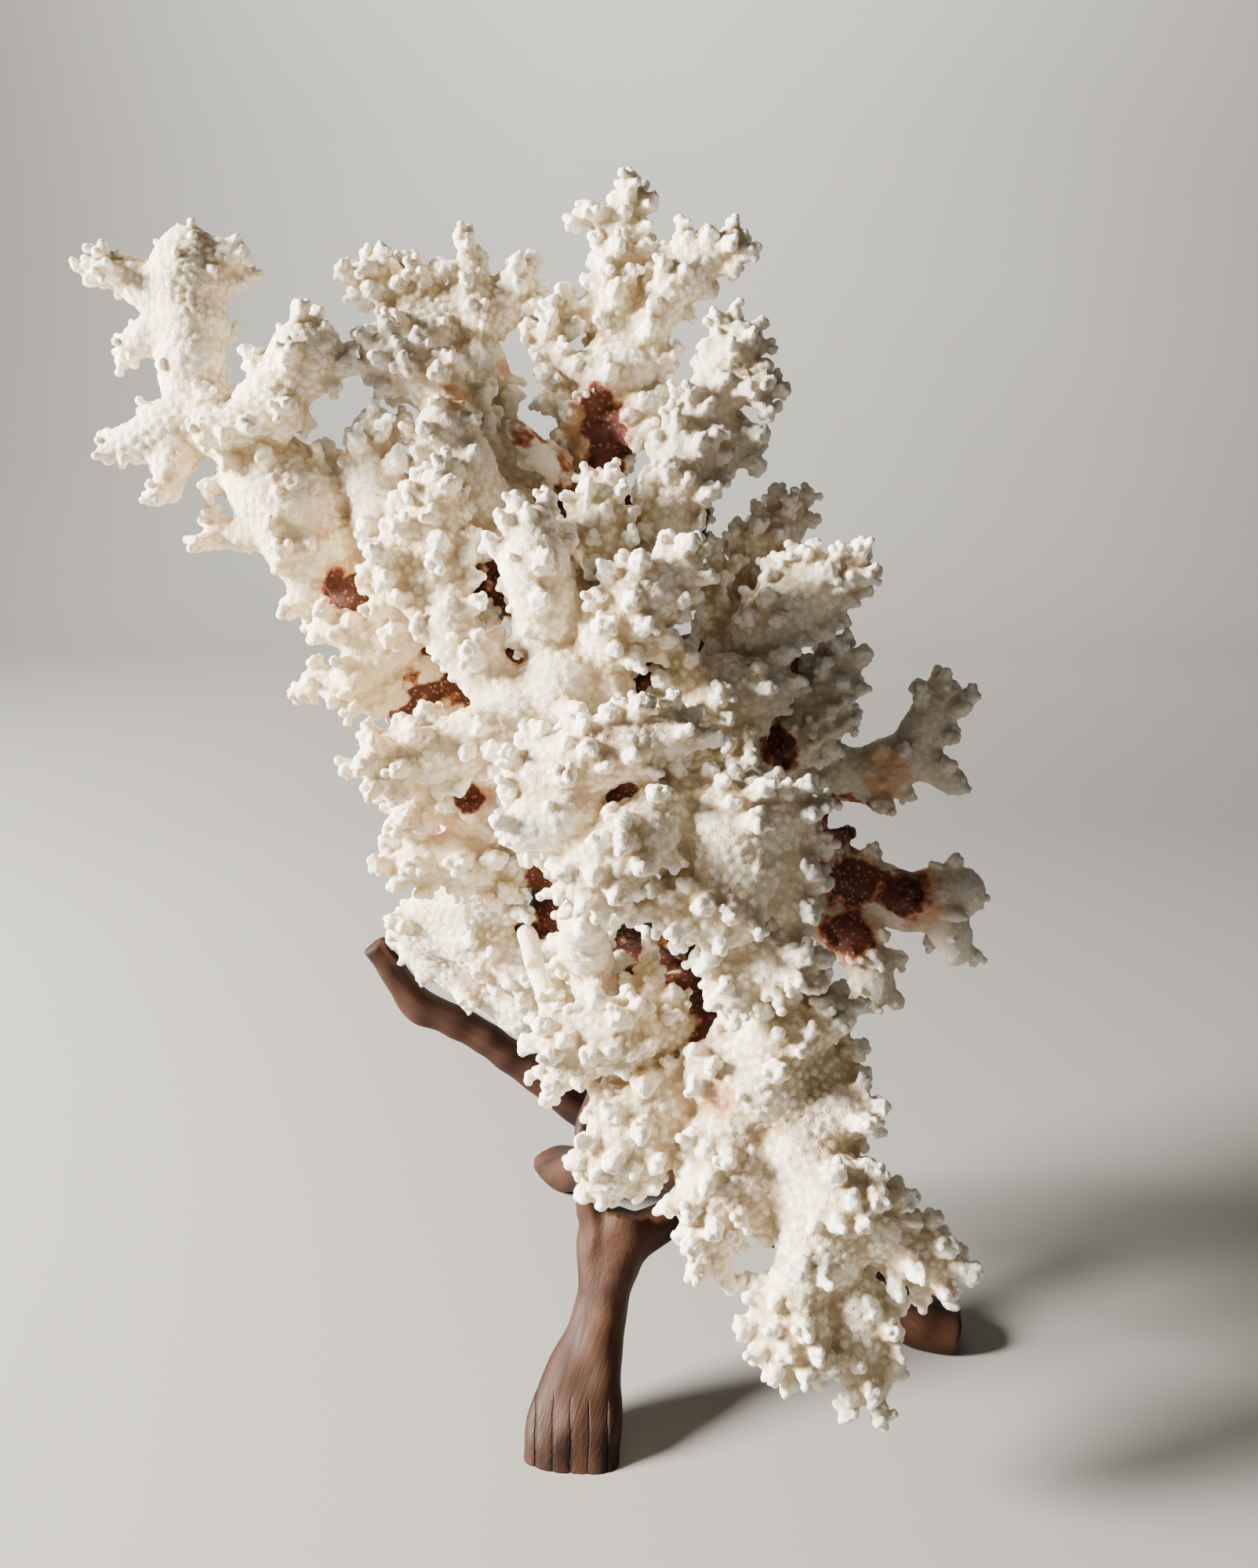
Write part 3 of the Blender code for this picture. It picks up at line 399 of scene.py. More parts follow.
# Each leg is a run of rings: the place, the width across the leg and the
# thickness of the leg there, in millimetres
STAND_SHIFT = np.array((36.587, -1.446, 0.0))
FRONT_LEG = [
    (-30.5, -55.5, 0, 23.5, 9), (-30, -51, 5.5, 23.5, 12), (-28, -43, 13, 20, 12),
    (-24.5, -35, 22, 14, 11.5), (-22.5, -30, 31, 14, 11.5), (-21, -25.5, 40, 19, 12),
    (-19.5, -23, 47, 17, 10)]
FRONT_LEFT_PRONG = [
    (-24, -29, 32, 9, 10), (-25, -25.5, 42, 7.5, 9), (-28, -20.5, 52, 5, 8),
    (-27.5, -10, 65, 5, 8), (-18, 6, 76, 6, 8), (-3, 17, 82, 9, 8)]
FRONT_RIGHT_PRONG = [
    (-20, -29, 32, 9, 10), (-15.5, -25, 39.5, 11, 10), (-6, -20, 43, 9.5, 9),
    (2.5, -14.5, 49.5, 5.5, 8), (5.5, -4, 61, 5, 8), (3, 8, 73, 6, 8), (-3, 17, 82, 9, 8)]
FRONT_ARM = [
    (-3, 17, 82, 10, 9), (8, 34, 90, 9, 9), (19, 52, 96, 9, 8), (26, 63, 106, 8, 7)]
RIGHT_LEG = [
    (73, -14, 3.6, 13, 10), (62, -11.5, 6, 16, 13), (48, -8, 13.5, 13, 11), (28, -3, 26, 10, 10),
    (8, 3, 36, 11, 10), (-12, 7, 45, 12, 10), (-28, 10, 56, 11, 9.5), (-41, 12, 66, 10, 9),
    (-56, 13.5, 77, 9, 8.5), (-66, 14, 83, 9, 8.5), (-75, 14.5, 87, 9.5, 9),
    (-80, 15, 94, 8.5, 7.5), (-87, 15, 105, 7, 6.5)]
REAR_LEG = [
    (-41.5, 75, 3.4, 17, 9), (-36, 63, 6, 16, 13), (-31, 50, 16, 12, 11), (-25, 36, 34, 10, 10),
    (-17, 21, 56, 9.5, 9), (-12, 6, 65, 9.5, 8.5), (-7, -10, 72, 9.5, 8.5), (3, -24, 80, 9, 8),
    (11, -34, 90, 7.5, 7)]
LEGS = [("carved_front_leg", "front_leg",
         [FRONT_LEG, FRONT_LEFT_PRONG, FRONT_RIGHT_PRONG, FRONT_ARM]),
        ("carved_right_leg", "right_leg", [RIGHT_LEG]),
        ("carved_rear_leg", "rear_leg", [REAR_LEG])]

# How finely a leg's rings are divided, how blunt their corners are, and how
# deep the carving of the sides goes, in millimetres
LEG_SIDES = 28
LEG_STEPS = 7
CORNERS = 2.6
CARVING = 0.25

# The toes of the front foot, in millimetres: how deep the cracks between them
# are, how far apart, how sharp, where the middle one is, how far their colour
# wanders, and where the foot's top and front are, with the width of the fade
TOE_DEPTH = 0.35
TOE_WIDTH = 4.3
TOE_SHARPNESS = 6
TOE_MIDDLE = 6.0
CRACK_WANDER = 1.6
FOOT_TOP = (14.0, -6.0)
FOOT_FRONT = (-44.0, -4.0)

# The coral's pale shades: in the hollows, on the skin and on the warts
# Darker hollows: partly painted shade, partly dirt; whiter warts: partly a painted highlight
IVORY = ((0.52, 0.40, 0.245), (0.78, 0.675, 0.49), (0.93, 0.885, 0.79))
POROUS = ((0.48, 0.38, 0.25), (0.74, 0.65, 0.50), (0.90, 0.86, 0.77))

# Tints of the pale skin: the stored value, its strength and the colour; the valley tint is painted
# shade in the creases, the grey tint partly painted shade
TINTS = (("yellow", 0.55, (0.80, 0.66, 0.42)), ("grey_and_shade", 0.6, (0.38, 0.34, 0.29)),
         ("valley_shade", 0.55, (0.42, 0.31, 0.185)))
# Painted shade in the pores: how much it darkens the skin, and its colour
PORE_SHADE = (0.28, (0.40, 0.30, 0.19))
BLOTCH_STRENGTH = 0.35
BROKEN_SHADES = ((0.30, 0.28, 0.26), (0.62, 0.59, 0.55))
RUST_TINT = (0.7, (0.50, 0.25, 0.11))
FRINGE = (0.36, 0.13, 0.055)
HEART_SHADES = ((0.04, 0.011, 0.007), (0.12, 0.032, 0.016))
DOT_TINT = (0.75, (0.34, 0.18, 0.11))

# How fine the coral's blotches, grain, pores and dots are, in turns a metre,
# and the coarse and fine noise that frays the edges of its patches
BLOTCHES = 60.0
GRAIN = 900.0
PORES = 1050.0
DOTS = 720.0
FRAY_COARSE = 120.0
FRAY_FINE = 420.0
FRAY_GAIN = 2.2
FRAY_MIDDLE = 1.65

# From which value to which one each of these fades in
HOLLOW_FADE = (0.05, 0.6)
WART_FADE = (0.55, 1.0)
BLOTCH_FADE = (0.45, 0.7)
PORE_FADE = (0.36, 0.10)
DOT_FADE = (0.34, 0.18)
FRAY_FADE = (0.0, 0.35)
RUST_FADE = (0.45, 0.75)
DARK_FADE = (0.35, 0.65)
FRINGE_FADE = (0.25, 0.45)
HEART_FADE = (0.42, 0.62)
CORAL_ROUGHNESS = (-0.9, 1.15)

# The wood's shades and tints, the scales of its streaks and fibres along and
# across the grain, and of its worn patches and of the wandering of its cracks
WOOD_SHADES = ((0.052, 0.020, 0.0095), (0.013, 0.005, 0.003))
WEAR_TINT = (0.5, (0.085, 0.038, 0.019))
FIBRE_TINT = (0.5, (0.02, 0.008, 0.005))
CRACK_TINT = (0.9, (0.008, 0.004, 0.003))
STREAK_SCALE = (12.0, 160.0, 160.0)
FIBRE_SCALE = (60.0, 1400.0, 1400.0)
WEAR = 55.0
WANDER = 140.0
STREAK_FADE = (0.35, 0.68)
WEAR_FADE = (0.5, 0.75)
FIBRE_FADE = (0.55, 0.7)
CRACK_FADE = (0.9, 0.99)
WOOD_ROUGHNESS = 0.48
FIBRE_ROUGHNESS = 0.25

# The studio, in metres: the floor's half width, its front, where it bends up,
# the bend's radius and steps, the wall's top, and the floor's pale shades
FLOOR_HALF = 5.0
FLOOR_FRONT = -4.0
FLOOR_BACK = 1.3
BEND = 0.8
BEND_STEPS = 16
WALL_TOP = 4.0
FLOOR_SHADES = ((0.25, 0.245, 0.235), (0.28, 0.275, 0.265))

# The lamps: name, place, what it looks at, size, power and colour
MIDDLE = (0.0, 0.0, 0.16)
LAMPS = [("window", (-1.14, -0.20, 0.58), MIDDLE, 0.42, 150.0, (1.0, 0.95, 0.86)),
         ("room", (0.5, -1.1, 0.7), MIDDLE, 1.4, 1.0, (1.0, 0.94, 0.85)),
         ("wall_wash", (0.0, 0.9, 1.6), (0.0, 2.1, 1.3), 1.2, 80.0, (1.0, 0.97, 0.90))]
SKY_COLOUR = (0.98, 0.90, 0.79, 1.0)
SKY_STRENGTH = 0.05


def seen(right, up, back):
    """The point, in metres, that the camera sees there."""
    reach = PLANE + back
    return (EYE + AHEAD * reach + (ACROSS * right + UPWARD * up) * (reach / PLANE)) * MM


def as_seen(spots):
    """How far right, up and behind the plane the camera sees each point, in millimetres."""
    away = spots / MM - EYE
    reach = away @ AHEAD
    return (away @ ACROSS) * PLANE / reach, (away @ UPWARD) * PLANE / reach, reach - PLANE


def clamp(values):
    return np.clip(values, 0.0, 1.0)


def ramp(values, start, width):
    """0 at the start, 1 from the width on; a negative width runs the other way."""
    return clamp((values - start) / width)


def facing_away(facing):
    """How much each facing is turned away from the camera, 0 to 1."""
    return clamp(facing @ AHEAD * REAR_GAIN)


def unit(rows):
    """Each row, brought to length 1."""
    return rows / np.maximum(np.linalg.norm(rows, axis=-1, keepdims=True), 1e-12)


def place(name, data):
    """A new object in the scene."""
    made = bpy.data.objects.new(name, data)
    bpy.context.scene.collection.objects.link(made)
    return made


def remove(item):
    mesh = item.data
    bpy.data.objects.remove(item, do_unlink=True)
    bpy.data.meshes.remove(mesh)


def settle(item):
    """Turn what the modifiers make into the object's own mesh."""
    bpy.context.view_layer.update()
    graph = bpy.context.evaluated_depsgraph_get()
    done = bpy.data.meshes.new_from_object(item.evaluated_get(graph))
    item.modifiers.clear()
    old = item.data
    item.data = done
    bpy.data.meshes.remove(old)


def read_mesh(mesh):
    """A mesh's points and triangles as arrays."""
    spots = np.empty(len(mesh.vertices) * 3, np.float32)
    mesh.vertices.foreach_get("co", spots)
    mesh.calc_loop_triangles()
    corners = np.empty(len(mesh.loop_triangles) * 3, np.int32)
    mesh.loop_triangles.foreach_get("vertices", corners)
    return spots.reshape(-1, 3).astype(float), corners.reshape(-1, 3)


def write_mesh(name, spots, corners):
    """A new mesh from arrays of points and triangles."""
    mesh = bpy.data.meshes.new(name)
    mesh.vertices.add(len(spots))
    mesh.vertices.foreach_set("co", np.asarray(spots, np.float32).ravel())
    mesh.loops.add(corners.size)
    mesh.loops.foreach_set("vertex_index", corners.astype(np.int32).ravel())
    mesh.polygons.add(len(corners))
    mesh.polygons.foreach_set("loop_start", np.arange(0, corners.size, 3, dtype=np.int32))
    mesh.update(calc_edges=True)
    return mesh


def move_points(mesh, spots):
    mesh.vertices.foreach_set("co", spots.astype(np.float32).ravel())
    mesh.update()


def store(mesh, name, values):
    """Keep a value for each point, which the material reads by its name."""
    layer = mesh.attributes.new(name, "FLOAT", "POINT")
    layer.data.foreach_set("value", np.asarray(values, np.float32))


def join_arrays(parts):
    """One set of points and triangles from several."""
    spots = np.concatenate([part[0] for part in parts])
    shift = 0
    corners = []
    for points, faces in parts:
        corners.append(faces + shift)
        shift += len(points)
    return spots, np.concatenate(corners)


def skin_normals(spots, corners):
    """The facing of each point, from the triangles round it."""
    a, b, c = (spots[corners[:, i]] for i in range(3))
    facing = np.cross(b - a, c - a)
    total = np.zeros_like(spots)
    for i in range(3):
        for axis in range(3):
            total[:, axis] += np.bincount(corners[:, i], facing[:, axis], len(spots))
    return unit(total)


def relaxed(spots, corners, rounds):
    """The points after each has moved to the middle of its neighbours, again and again."""
    starts = np.concatenate([corners[:, 0], corners[:, 1], corners[:, 2]])
    ends = np.concatenate([corners[:, 1], corners[:, 2], corners[:, 0]])
    links = np.maximum(np.bincount(starts, minlength=len(spots)), 1)
    now = spots.copy()
    for _ in range(rounds):
        total = [np.bincount(starts, now[ends, axis], len(spots)) for axis in range(3)]
        now = np.stack(total, 1) / links[:, None]
    return now


def standing_out(spots, corners, normals, rounds):
    """How far each point stands out from the smoothed skin, in millimetres."""
    return np.einsum("nd,nd->n", spots - relaxed(spots, corners, rounds), normals) / MM


def fused(name, parts, voxel, rounds):
    """One even skin round all the parts."""
    item = place(name, write_mesh(name, *join_arrays(parts)))
    skin = item.modifiers.new("skin", "REMESH")
    skin.mode = "VOXEL"
    skin.voxel_size = voxel * MM
    even = item.modifiers.new("even", "SMOOTH")
    even.factor = SMOOTHING
    even.iterations = rounds
    settle(item)
    return item


def thinned(item, most):
    """Bring the voxel skin, which is made of four-sided faces, down to the most triangles."""
    count = len(item.data.polygons) * 2
    if count > most:
        thin = item.modifiers.new("thin", "DECIMATE")
        thin.use_collapse_triangulate = True
        thin.ratio = most / count
        settle(item)


def cut_off(item, planes):
    """Cut away what lies past each plane, a point and a facing, and close the cut."""
    bm = bmesh.new()
    bm.from_mesh(item.data)
    for point, facing in planes:
        bmesh.ops.bisect_plane(bm, geom=bm.verts[:] + bm.edges[:] + bm.faces[:],
                               plane_co=point, plane_no=facing, clear_outer=True)
        bmesh.ops.holes_fill(bm, edges=[edge for edge in bm.edges if edge.is_boundary])
        bmesh.ops.triangulate(bm, faces=bm.faces)
    bm.to_mesh(item.data)
    bm.free()


def ball():
    """A ball of radius 1 as arrays."""
    bm = bmesh.new()
    bmesh.ops.create_icosphere(bm, subdivisions=BALL_FINENESS, radius=1.0)
    spots = np.array([vert.co for vert in bm.verts])
    corners = np.array([[vert.index for vert in face.verts] for face in bm.faces], np.int32)
    bm.free()
    return spots, corners


def eggs(places, axes, sizes, lengths):
    """Egg shapes at the places, each along its axis."""
    shape, faces = ball()
    helper = np.where(np.abs(axes[:, 2:3]) < 0.9, [[0.0, 0.0, 1.0]], [[1.0, 0.0, 0.0]])
    side = unit(np.cross(axes, helper))
    other = np.cross(axes, side)
    spots = (places[:, None, :]
             + side[:, None, :] * shape[None, :, 0, None] * sizes[:, None, None]
             + other[:, None, :] * shape[None, :, 1, None] * sizes[:, None, None]
             + axes[:, None, :] * shape[None, :, 2, None] * lengths[:, None, None])
    corners = faces[None, :, :] + (np.arange(len(places)) * len(shape))[:, None, None]
    return spots.reshape(-1, 3), corners.reshape(-1, 3)


def stations(name):
    """Evenly close places along a limb's strokes, with radius and heading."""
    places, radii, headings = [], [], []
    for stroke in LIMBS[name][1]:
        points = [(seen(*point[:3]), point[3] * MM) for point in stroke]
        for (start, r0), (end, r1) in zip(points, points[1:]):
            run = end - start
            length = np.linalg.norm(run)
            count = max(1, int(length / (BALL_STEP * min(r0, r1)) + 0.5))
            for i in range(count + 1):
                t = i / count
                places.append(start + run * t)
                radii.append(r0 + (r1 - r0) * t)
                headings.append(run / length)
    return np.array(places), np.array(radii), np.array(headings)


def limb_balls(name, rng):
    """The limb's round masses, pressed along the line of sight."""
    flat = LIMBS[name][0]
    places, radii, _ = stations(name)
    slim = 1.0 if name in FULL else SLIM
    sizes = radii * slim * rng.uniform(1.0 - WOBBLE, 1.0 + WOBBLE, len(radii))
    places = places + rng.normal(0.0, WOBBLE / 2.0, places.shape) * radii[:, None]
    axes = np.tile(AHEAD, (len(places), 1))
    return eggs(places, axes, sizes, sizes * flat)


def spread(spots, corners, step, rng):
    """Points scattered on the skin, none closer to another than the step."""
    a, b, c = (spots[corners[:, i]] for i in range(3))
    areas = np.linalg.norm(np.cross(b - a, c - a), axis=1) / 2.0
    total = areas.sum()
    tries = int(total / step ** 2 * TRIES)
    pick = np.searchsorted(np.cumsum(areas), rng.random(tries) * total)
    pick = np.minimum(pick, len(corners) - 1)
    u, v = rng.random(tries), rng.random(tries)
    over = u + v > 1.0
    u[over], v[over] = 1.0 - u[over], 1.0 - v[over]
    chosen = corners[pick]
    weights = np.stack([1.0 - u - v, u, v], 1)
    points = np.einsum("nk,nkd->nd", weights, spots[chosen])
    kept = far_enough(points, step)
    return points[kept], chosen[kept], weights[kept]


def far_enough(points, step):
    """The indices of the points that are a step away from all that were kept before."""
    cells = [tuple(row) for row in np.floor(points / step).astype(int)]
    around = [(i, j, k) for i in (-1, 0, 1) for j in (-1, 0, 1) for k in (-1, 0, 1)]
    listed = points.tolist()
    taken = {}
    kept = []
    room = step ** 2
    for i, (x, y, z) in enumerate(cells):
        here = listed[i]
        rivals = [j for dx, dy, dz in around for j in taken.get((x + dx, y + dy, z + dz), ())]
        if all((listed[j][0] - here[0]) ** 2 + (listed[j][1] - here[1]) ** 2
               + (listed[j][2] - here[2]) ** 2 >= room for j in rivals):
            taken.setdefault((x, y, z), []).append(i)
            kept.append(i)
    return np.array(kept, int)


def tree_of(places):
    """A tree that finds the nearest of the places."""
    tree = KDTree(len(places))
    for number, where in enumerate(places):
        tree.insert(Vector(where), number)
    tree.balance()
    return tree


def nearest_limbs(points, names):
    """For each point, the index of the limb whose skin is nearest and the heading there."""
    places, radii, owners, headings = [], [], [], []
    for number, name in enumerate(names):
        where, wide, along = stations(name)
        places.extend(where)
        radii.extend(wide)
        headings.extend(along)
        owners.extend([number] * len(where))
    tree = tree_of(places)
    found = np.empty(len(points), int)
    for i, point in enumerate(points):
        close = tree.find_n(point, NEAR_BALLS)
        found[i] = min(close, key=lambda row: row[2] - radii[row[1]])[1]
    return np.array(owners)[found], np.array(headings)[found]


def broken_planes():
    """Each broken face's edge, start and end, and the way that the face looks."""
    planes = []
    for back, lean in BROKEN_CUTS:
        start, end = (seen(right, up, back) for right, up in BROKEN_EDGE)
        facing = unit(np.cross((0.0, math.cos(lean), -math.sin(lean)), end - start))
        planes.append((start, end, facing))
    return planes


def on_broken_face(points):
    """How much each point lies on a broken face: 1 within its layer, 0 past two layers."""
    most = np.zeros(len(points))
    back = as_seen(points)[BACK]
    nearest, furthest = BROKEN_DEPTHS
    for start, end, facing in broken_planes():
        layers = np.abs((points - start) @ facing) / MM / BROKEN_LAYER
        length = np.linalg.norm(end - start)
        along = (points - start) @ (end - start) / length
        inside = ((along > -BROKEN_OVERHANG * MM) & (along < length)
                  & (back > nearest) & (back < furthest))
        most = np.maximum(most, clamp(2.0 - layers) * inside)
    return most


def scattered(item, names, step, shares, rng):
    """Places on the skin with facing, rim value 0 to 1, limb's share and heading."""
    spots, corners = read_mesh(item.data)
    normals = skin_normals(spots, corners)
    height = standing_out(spots, corners, normals, RIM_ROUNDS)
    points, chosen, weights = spread(spots, corners, step * MM, rng)
    facing = unit(np.einsum("nk,nkd->nd", weights, normals[chosen]))
    height = np.einsum("nk,nk->n", weights, height[chosen])
    rim = clamp(height * RIM_GAIN - RIM_LOSS)
    owners, headings = nearest_limbs(points, names)
    share = np.array([shares.get(name, 1.0) for name in names])[owners]
    inner = np.array([name in HEARTS for name in names])[owners]
    share = np.maximum(share, inner * facing_away(facing))
    for right, up, back, radius in SMOOTH:
        gap = np.linalg.norm(points - seen(right, up, back), axis=1) / MM
        share = share * clamp(gap / radius - SMOOTH_CORE)
    share = share * (1.0 - on_broken_face(points))
    return points, facing, rim, share, headings


def standing(item, names, growth, rng):
    """Blunt fingers standing on the skin, leaning the way that the limb grows."""
    points, facing, rim, share, headings = scattered(item, names, growth.step, growth.shares, rng)
    wide = rng.uniform(*growth.sizes, len(points)) * MM
    stray = rng.normal(0.0, FINGER_STRAY, facing.shape)
    axes = unit(facing + headings * growth.lean + stray)
    keep = rng.random(len(points)) < share * (growth.rim_share * rim)
    reach = rng.uniform(*FINGER_REACH, len(points))[keep]
    points, axes, wide = points[keep], axes[keep], wide[keep]
    made = []
    for rise in growth.balls:
        lift = (wide * rise * reach)[:, None]
        made.append(eggs(points + axes * lift, axes, wide, wide))
    return join_arrays(made)


def raise_warts(item, names, rng):
    """Low round warts close together over the whole skin, and pits in the broken faces."""
    points, _, rim, share, _ = scattered(item, names, WART_STEP, WARTS, rng)
    spots, corners = read_mesh(item.data)
    normals = skin_normals(relaxed(spots, corners, WART_FACING_ROUNDS), corners)
    tree = tree_of(points)
    found = [tree.find(spot)[1:] for spot in spots]
    nearest = np.array([row[0] for row in found])
    gap = np.array([row[1] for row in found]) / MM
    wide = rng.uniform(*WART_SIZE, len(points))
    high = WART_RISE * rng.uniform(*WART_UNEVENNESS, len(points)) * share
    high = high * (WART_FLAT + WART_RIM * rim)
    high = high - PIT_DEPTH * on_broken_face(points) * (rng.random(len(points)) < PIT_SHARE)
    dome = np.sqrt(clamp(1.0 - (gap / wide[nearest]) ** 2))
    move_points(item.data, spots + normals * (dome * high[nearest] * MM)[:, None])


def grown_skin(names, rng):
    """The whole coral as one skin: limbs, then branchlets, teeth and warts on them."""
    crust = fused("crust", [limb_balls("base_crust", rng)], *CRUST_SKIN)
    cut_off(crust, [(start, facing) for start, _, facing in broken_planes()])
    balls = [limb_balls(name, rng) for name in names if name != "base_crust"]
    item = fused("coral", balls + [read_mesh(crust.data)], *LIMB_SKIN)
    remove(crust)
    for growth in (BRANCHLET, TOOTH):
        parts = [read_mesh(item.data), standing(item, names, growth, rng)]
        remove(item)
        item = fused("coral", parts, *growth.skin)
    raise_warts(item, names, rng)
    thinned(item, CORAL_TRIANGLES)
    return item


def patches(places, rows):
    """How much each place lies in one of the patches, 0 to 1."""
    right, up, back = places
    most = np.zeros(len(right))
    for x, y, near, far, radius in rows:
        gap = np.hypot(right - x, up - y)
        inside = (back > near) & (back < far)
        most = np.maximum(most, clamp(PATCH_EDGE - gap / radius) * inside)
    return most


def near_hearts(spots):
    """How close each point is to an inner stem, 1 on it and 0 past the reach."""
    most = np.zeros(len(spots))
    for name in HEARTS:
        for middle, radius, _ in zip(*stations(name)):
            gap = np.linalg.norm(spots - middle, axis=1)
            most = np.maximum(most, clamp(1.0 - (gap - radius) / (HEART_REACH * MM)))
    return most


def bleached(places):
    """How much each place lies in the bleached stretch of the inner stems, 0 to 1."""
    share = 1.0
    for axis, start, width in BLEACHED:
        share = share * ramp(places[axis], start, width)
    return share


def stored_values(spots, corners, normals):
    """What steers the material at each point of the coral, by name."""
    places = as_seen(spots)
    front = 1.0 - facing_away(normals)
    heart = np.maximum(patches(places, RED), near_hearts(spots) * front)
    # How far each point stands out: the hollows get painted shade and dirt, the warts a partly
    # painted highlight
    relief = standing_out(spots, corners, normals, RELIEF_ROUNDS)
    # How deep each point lies in the creases between lobes, darkened there as painted shade
    depth = -standing_out(spots, corners, normals, VALLEY_ROUNDS)
    return {"relief": clamp(0.5 + relief / RELIEF_SPAN * 0.5),
            "valley_shade": clamp(depth / VALLEY_SPAN),
            "heart": heart * (1.0 - BLEACH * bleached(places)),
            "rust": patches(places, ORANGE),
            "yellow": patches(places, YELLOW),
            # Painted shade over the right-hand limbs, and a greyer tone higher up
            "grey_and_shade": patches(places, GREY_AND_SHADE),
            "broken": on_broken_face(spots)}


def build_coral(rng):
    """The coral's skin, parted into the pieces along its forks."""
    paints = {"ivory_coral": coral_material("ivory_coral", IVORY),
              "red_brown_coral": coral_material("red_brown_coral", IVORY),
              "porous_coral": coral_material("porous_coral", POROUS)}
    names = [limb for limbs in PIECES.values() for limb in limbs]
    item = grown_skin(names, rng)
    spots, corners = read_mesh(item.data)
    remove(item)
    normals = skin_normals(spots, corners)
    values = stored_values(spots, corners, normals)
    owner = nearest_limbs(spots, names)[0][corners[:, 0]]
    first = 0
    for name, limbs in PIECES.items():
        ours = (owner >= first) & (owner < first + len(limbs))
        first += len(limbs)
        used, mine = np.unique(corners[ours], return_inverse=True)
        mesh = write_mesh(name, spots[used], mine.reshape(-1, 3))
        for key, rows in values.items():
            store(mesh, key, rows[used])
        mesh.shade_smooth()
        mesh.normals_split_custom_set_from_vertices(normals[used])
        piece = place(name, mesh)
        slot = SLOTS.get(name, "ivory_coral")
        piece.data.materials.append(paints[slot])
        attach(piece, "root")
        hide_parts(*limbs)


def smooth_run(rings):
    """The rings with more between them, on a smooth curve through them."""
    rows = np.array(rings, float)
    ends = np.vstack([2 * rows[0] - rows[1], rows, 2 * rows[-1] - rows[-2]])
    made = []
    for i in range(len(rows) - 1):
        a, b, c, d = ends[i:i + 4]
        for step in range(LEG_STEPS):
            t = step / LEG_STEPS
            made.append(0.5 * (2 * b + (c - a) * t + (2 * a - 5 * b + 4 * c - d) * t ** 2
                               + (3 * b - a - 3 * c + d) * t ** 3))
    made.append(rows[-1])
    return np.array(made)


def ring_points(row, heading, level):
    """A ring with blunt corners across the heading; a level one lies flat."""
    across = unit(np.cross(heading, (0.0, 0.0, 1.0)))
    over = np.cross(across, (0.0, 0.0, 1.0) if level else heading)
    angles = math.tau * (np.arange(LEG_SIDES) + 0.5) / LEG_SIDES
    c, s = np.cos(angles), np.sin(angles)
    blunt = (np.abs(c) ** CORNERS + np.abs(s) ** CORNERS) ** (-1.0 / CORNERS)
    return (row[:3] + np.outer(c * blunt * row[3] / 2.0, across)
            + np.outer(s * blunt * row[4] / 2.0, over))


def closed_tube(spots, count):
    """Outward triangles through so many rings, closed to the last two points."""
    sides = np.arange(LEG_SIDES)
    after = (sides + 1) % LEG_SIDES
    corners = []
    for i in range(count - 1):
        low, high = i * LEG_SIDES, (i + 1) * LEG_SIDES
        corners.append(np.stack([low + sides, low + after, high + after], 1))
        corners.append(np.stack([low + sides, high + after, high + sides], 1))
    first = count * LEG_SIDES
    top = first - LEG_SIDES
    corners.append(np.stack([after, sides, np.full(LEG_SIDES, first)], 1))
    corners.append(np.stack([top + sides, top + after, np.full(LEG_SIDES, first + 1)], 1))
    corners = np.concatenate(corners).astype(np.int32)
    a, b, c = (spots[corners[:, k]] for k in range(3))
    if np.einsum("nd,nd->n", a, np.cross(b, c)).sum() < 0.0:
        corners = corners[:, ::-1].copy()
    return corners


def leg_strand(rings, level_start):
    """A closed skin through the rings; a level one goes on below the ground."""
    rows = smooth_run(rings)
    if level_start:
        below = rows[:1] - (rows[LEG_STEPS:LEG_STEPS + 1] - rows[:1])
        below[0, 3:] = rows[0, 3:]
        rows = np.vstack([below, rows])
    loops = []
    for i, row in enumerate(rows):
        heading = unit(rows[min(i + 1, len(rows) - 1), :3] - rows[max(i - 1, 0), :3])
        loops.append(ring_points(row, heading, level_start and i < 2))
    spots = (np.vstack([*loops, rows[:1, :3], rows[-1:, :3]]) + STAND_SHIFT) * MM
    return spots, closed_tube(spots, len(rows))


def carve_leg(item, has_toes):
    """Uneven, hand-carved sides, toes on the front foot, and a foot cut off flat."""
    spots, corners = read_mesh(item.data)
    normals = skin_normals(spots, corners)
    x, y, z = (spots / MM).T
    foot = np.zeros(len(x))
    move = CARVING * np.sin(x * 0.55 + 1.3 * np.sin(z * 0.21)) * np.sin(z * 0.31 + y * 0.2)
    if has_toes:
        foot = ramp(z, *FOOT_TOP) * ramp(y, *FOOT_FRONT)
        cracks = clamp(np.cos((x - TOE_MIDDLE) * math.tau / TOE_WIDTH))
        move = move - TOE_DEPTH * foot * cracks ** TOE_SHARPNESS
    move_points(item.data, spots + normals * (move * MM)[:, None])
    store(item.data, "foot", foot)
    cut_off(item, [((0.0, 0.0, 0.0), (0.0, 0.0, -1.0))])


def store_grain(item):
    """The wood's own directions: along the straight block that the leg was carved from."""
    spots, _ = read_mesh(item.data)
    middle = spots - spots.mean(0)
    _, _, axes = np.linalg.svd(middle[::7], full_matrices=False)
    layer = item.data.attributes.new("grain", "FLOAT_VECTOR", "POINT")
    layer.data.foreach_set("vector", (middle @ axes.T).astype(np.float32).ravel())


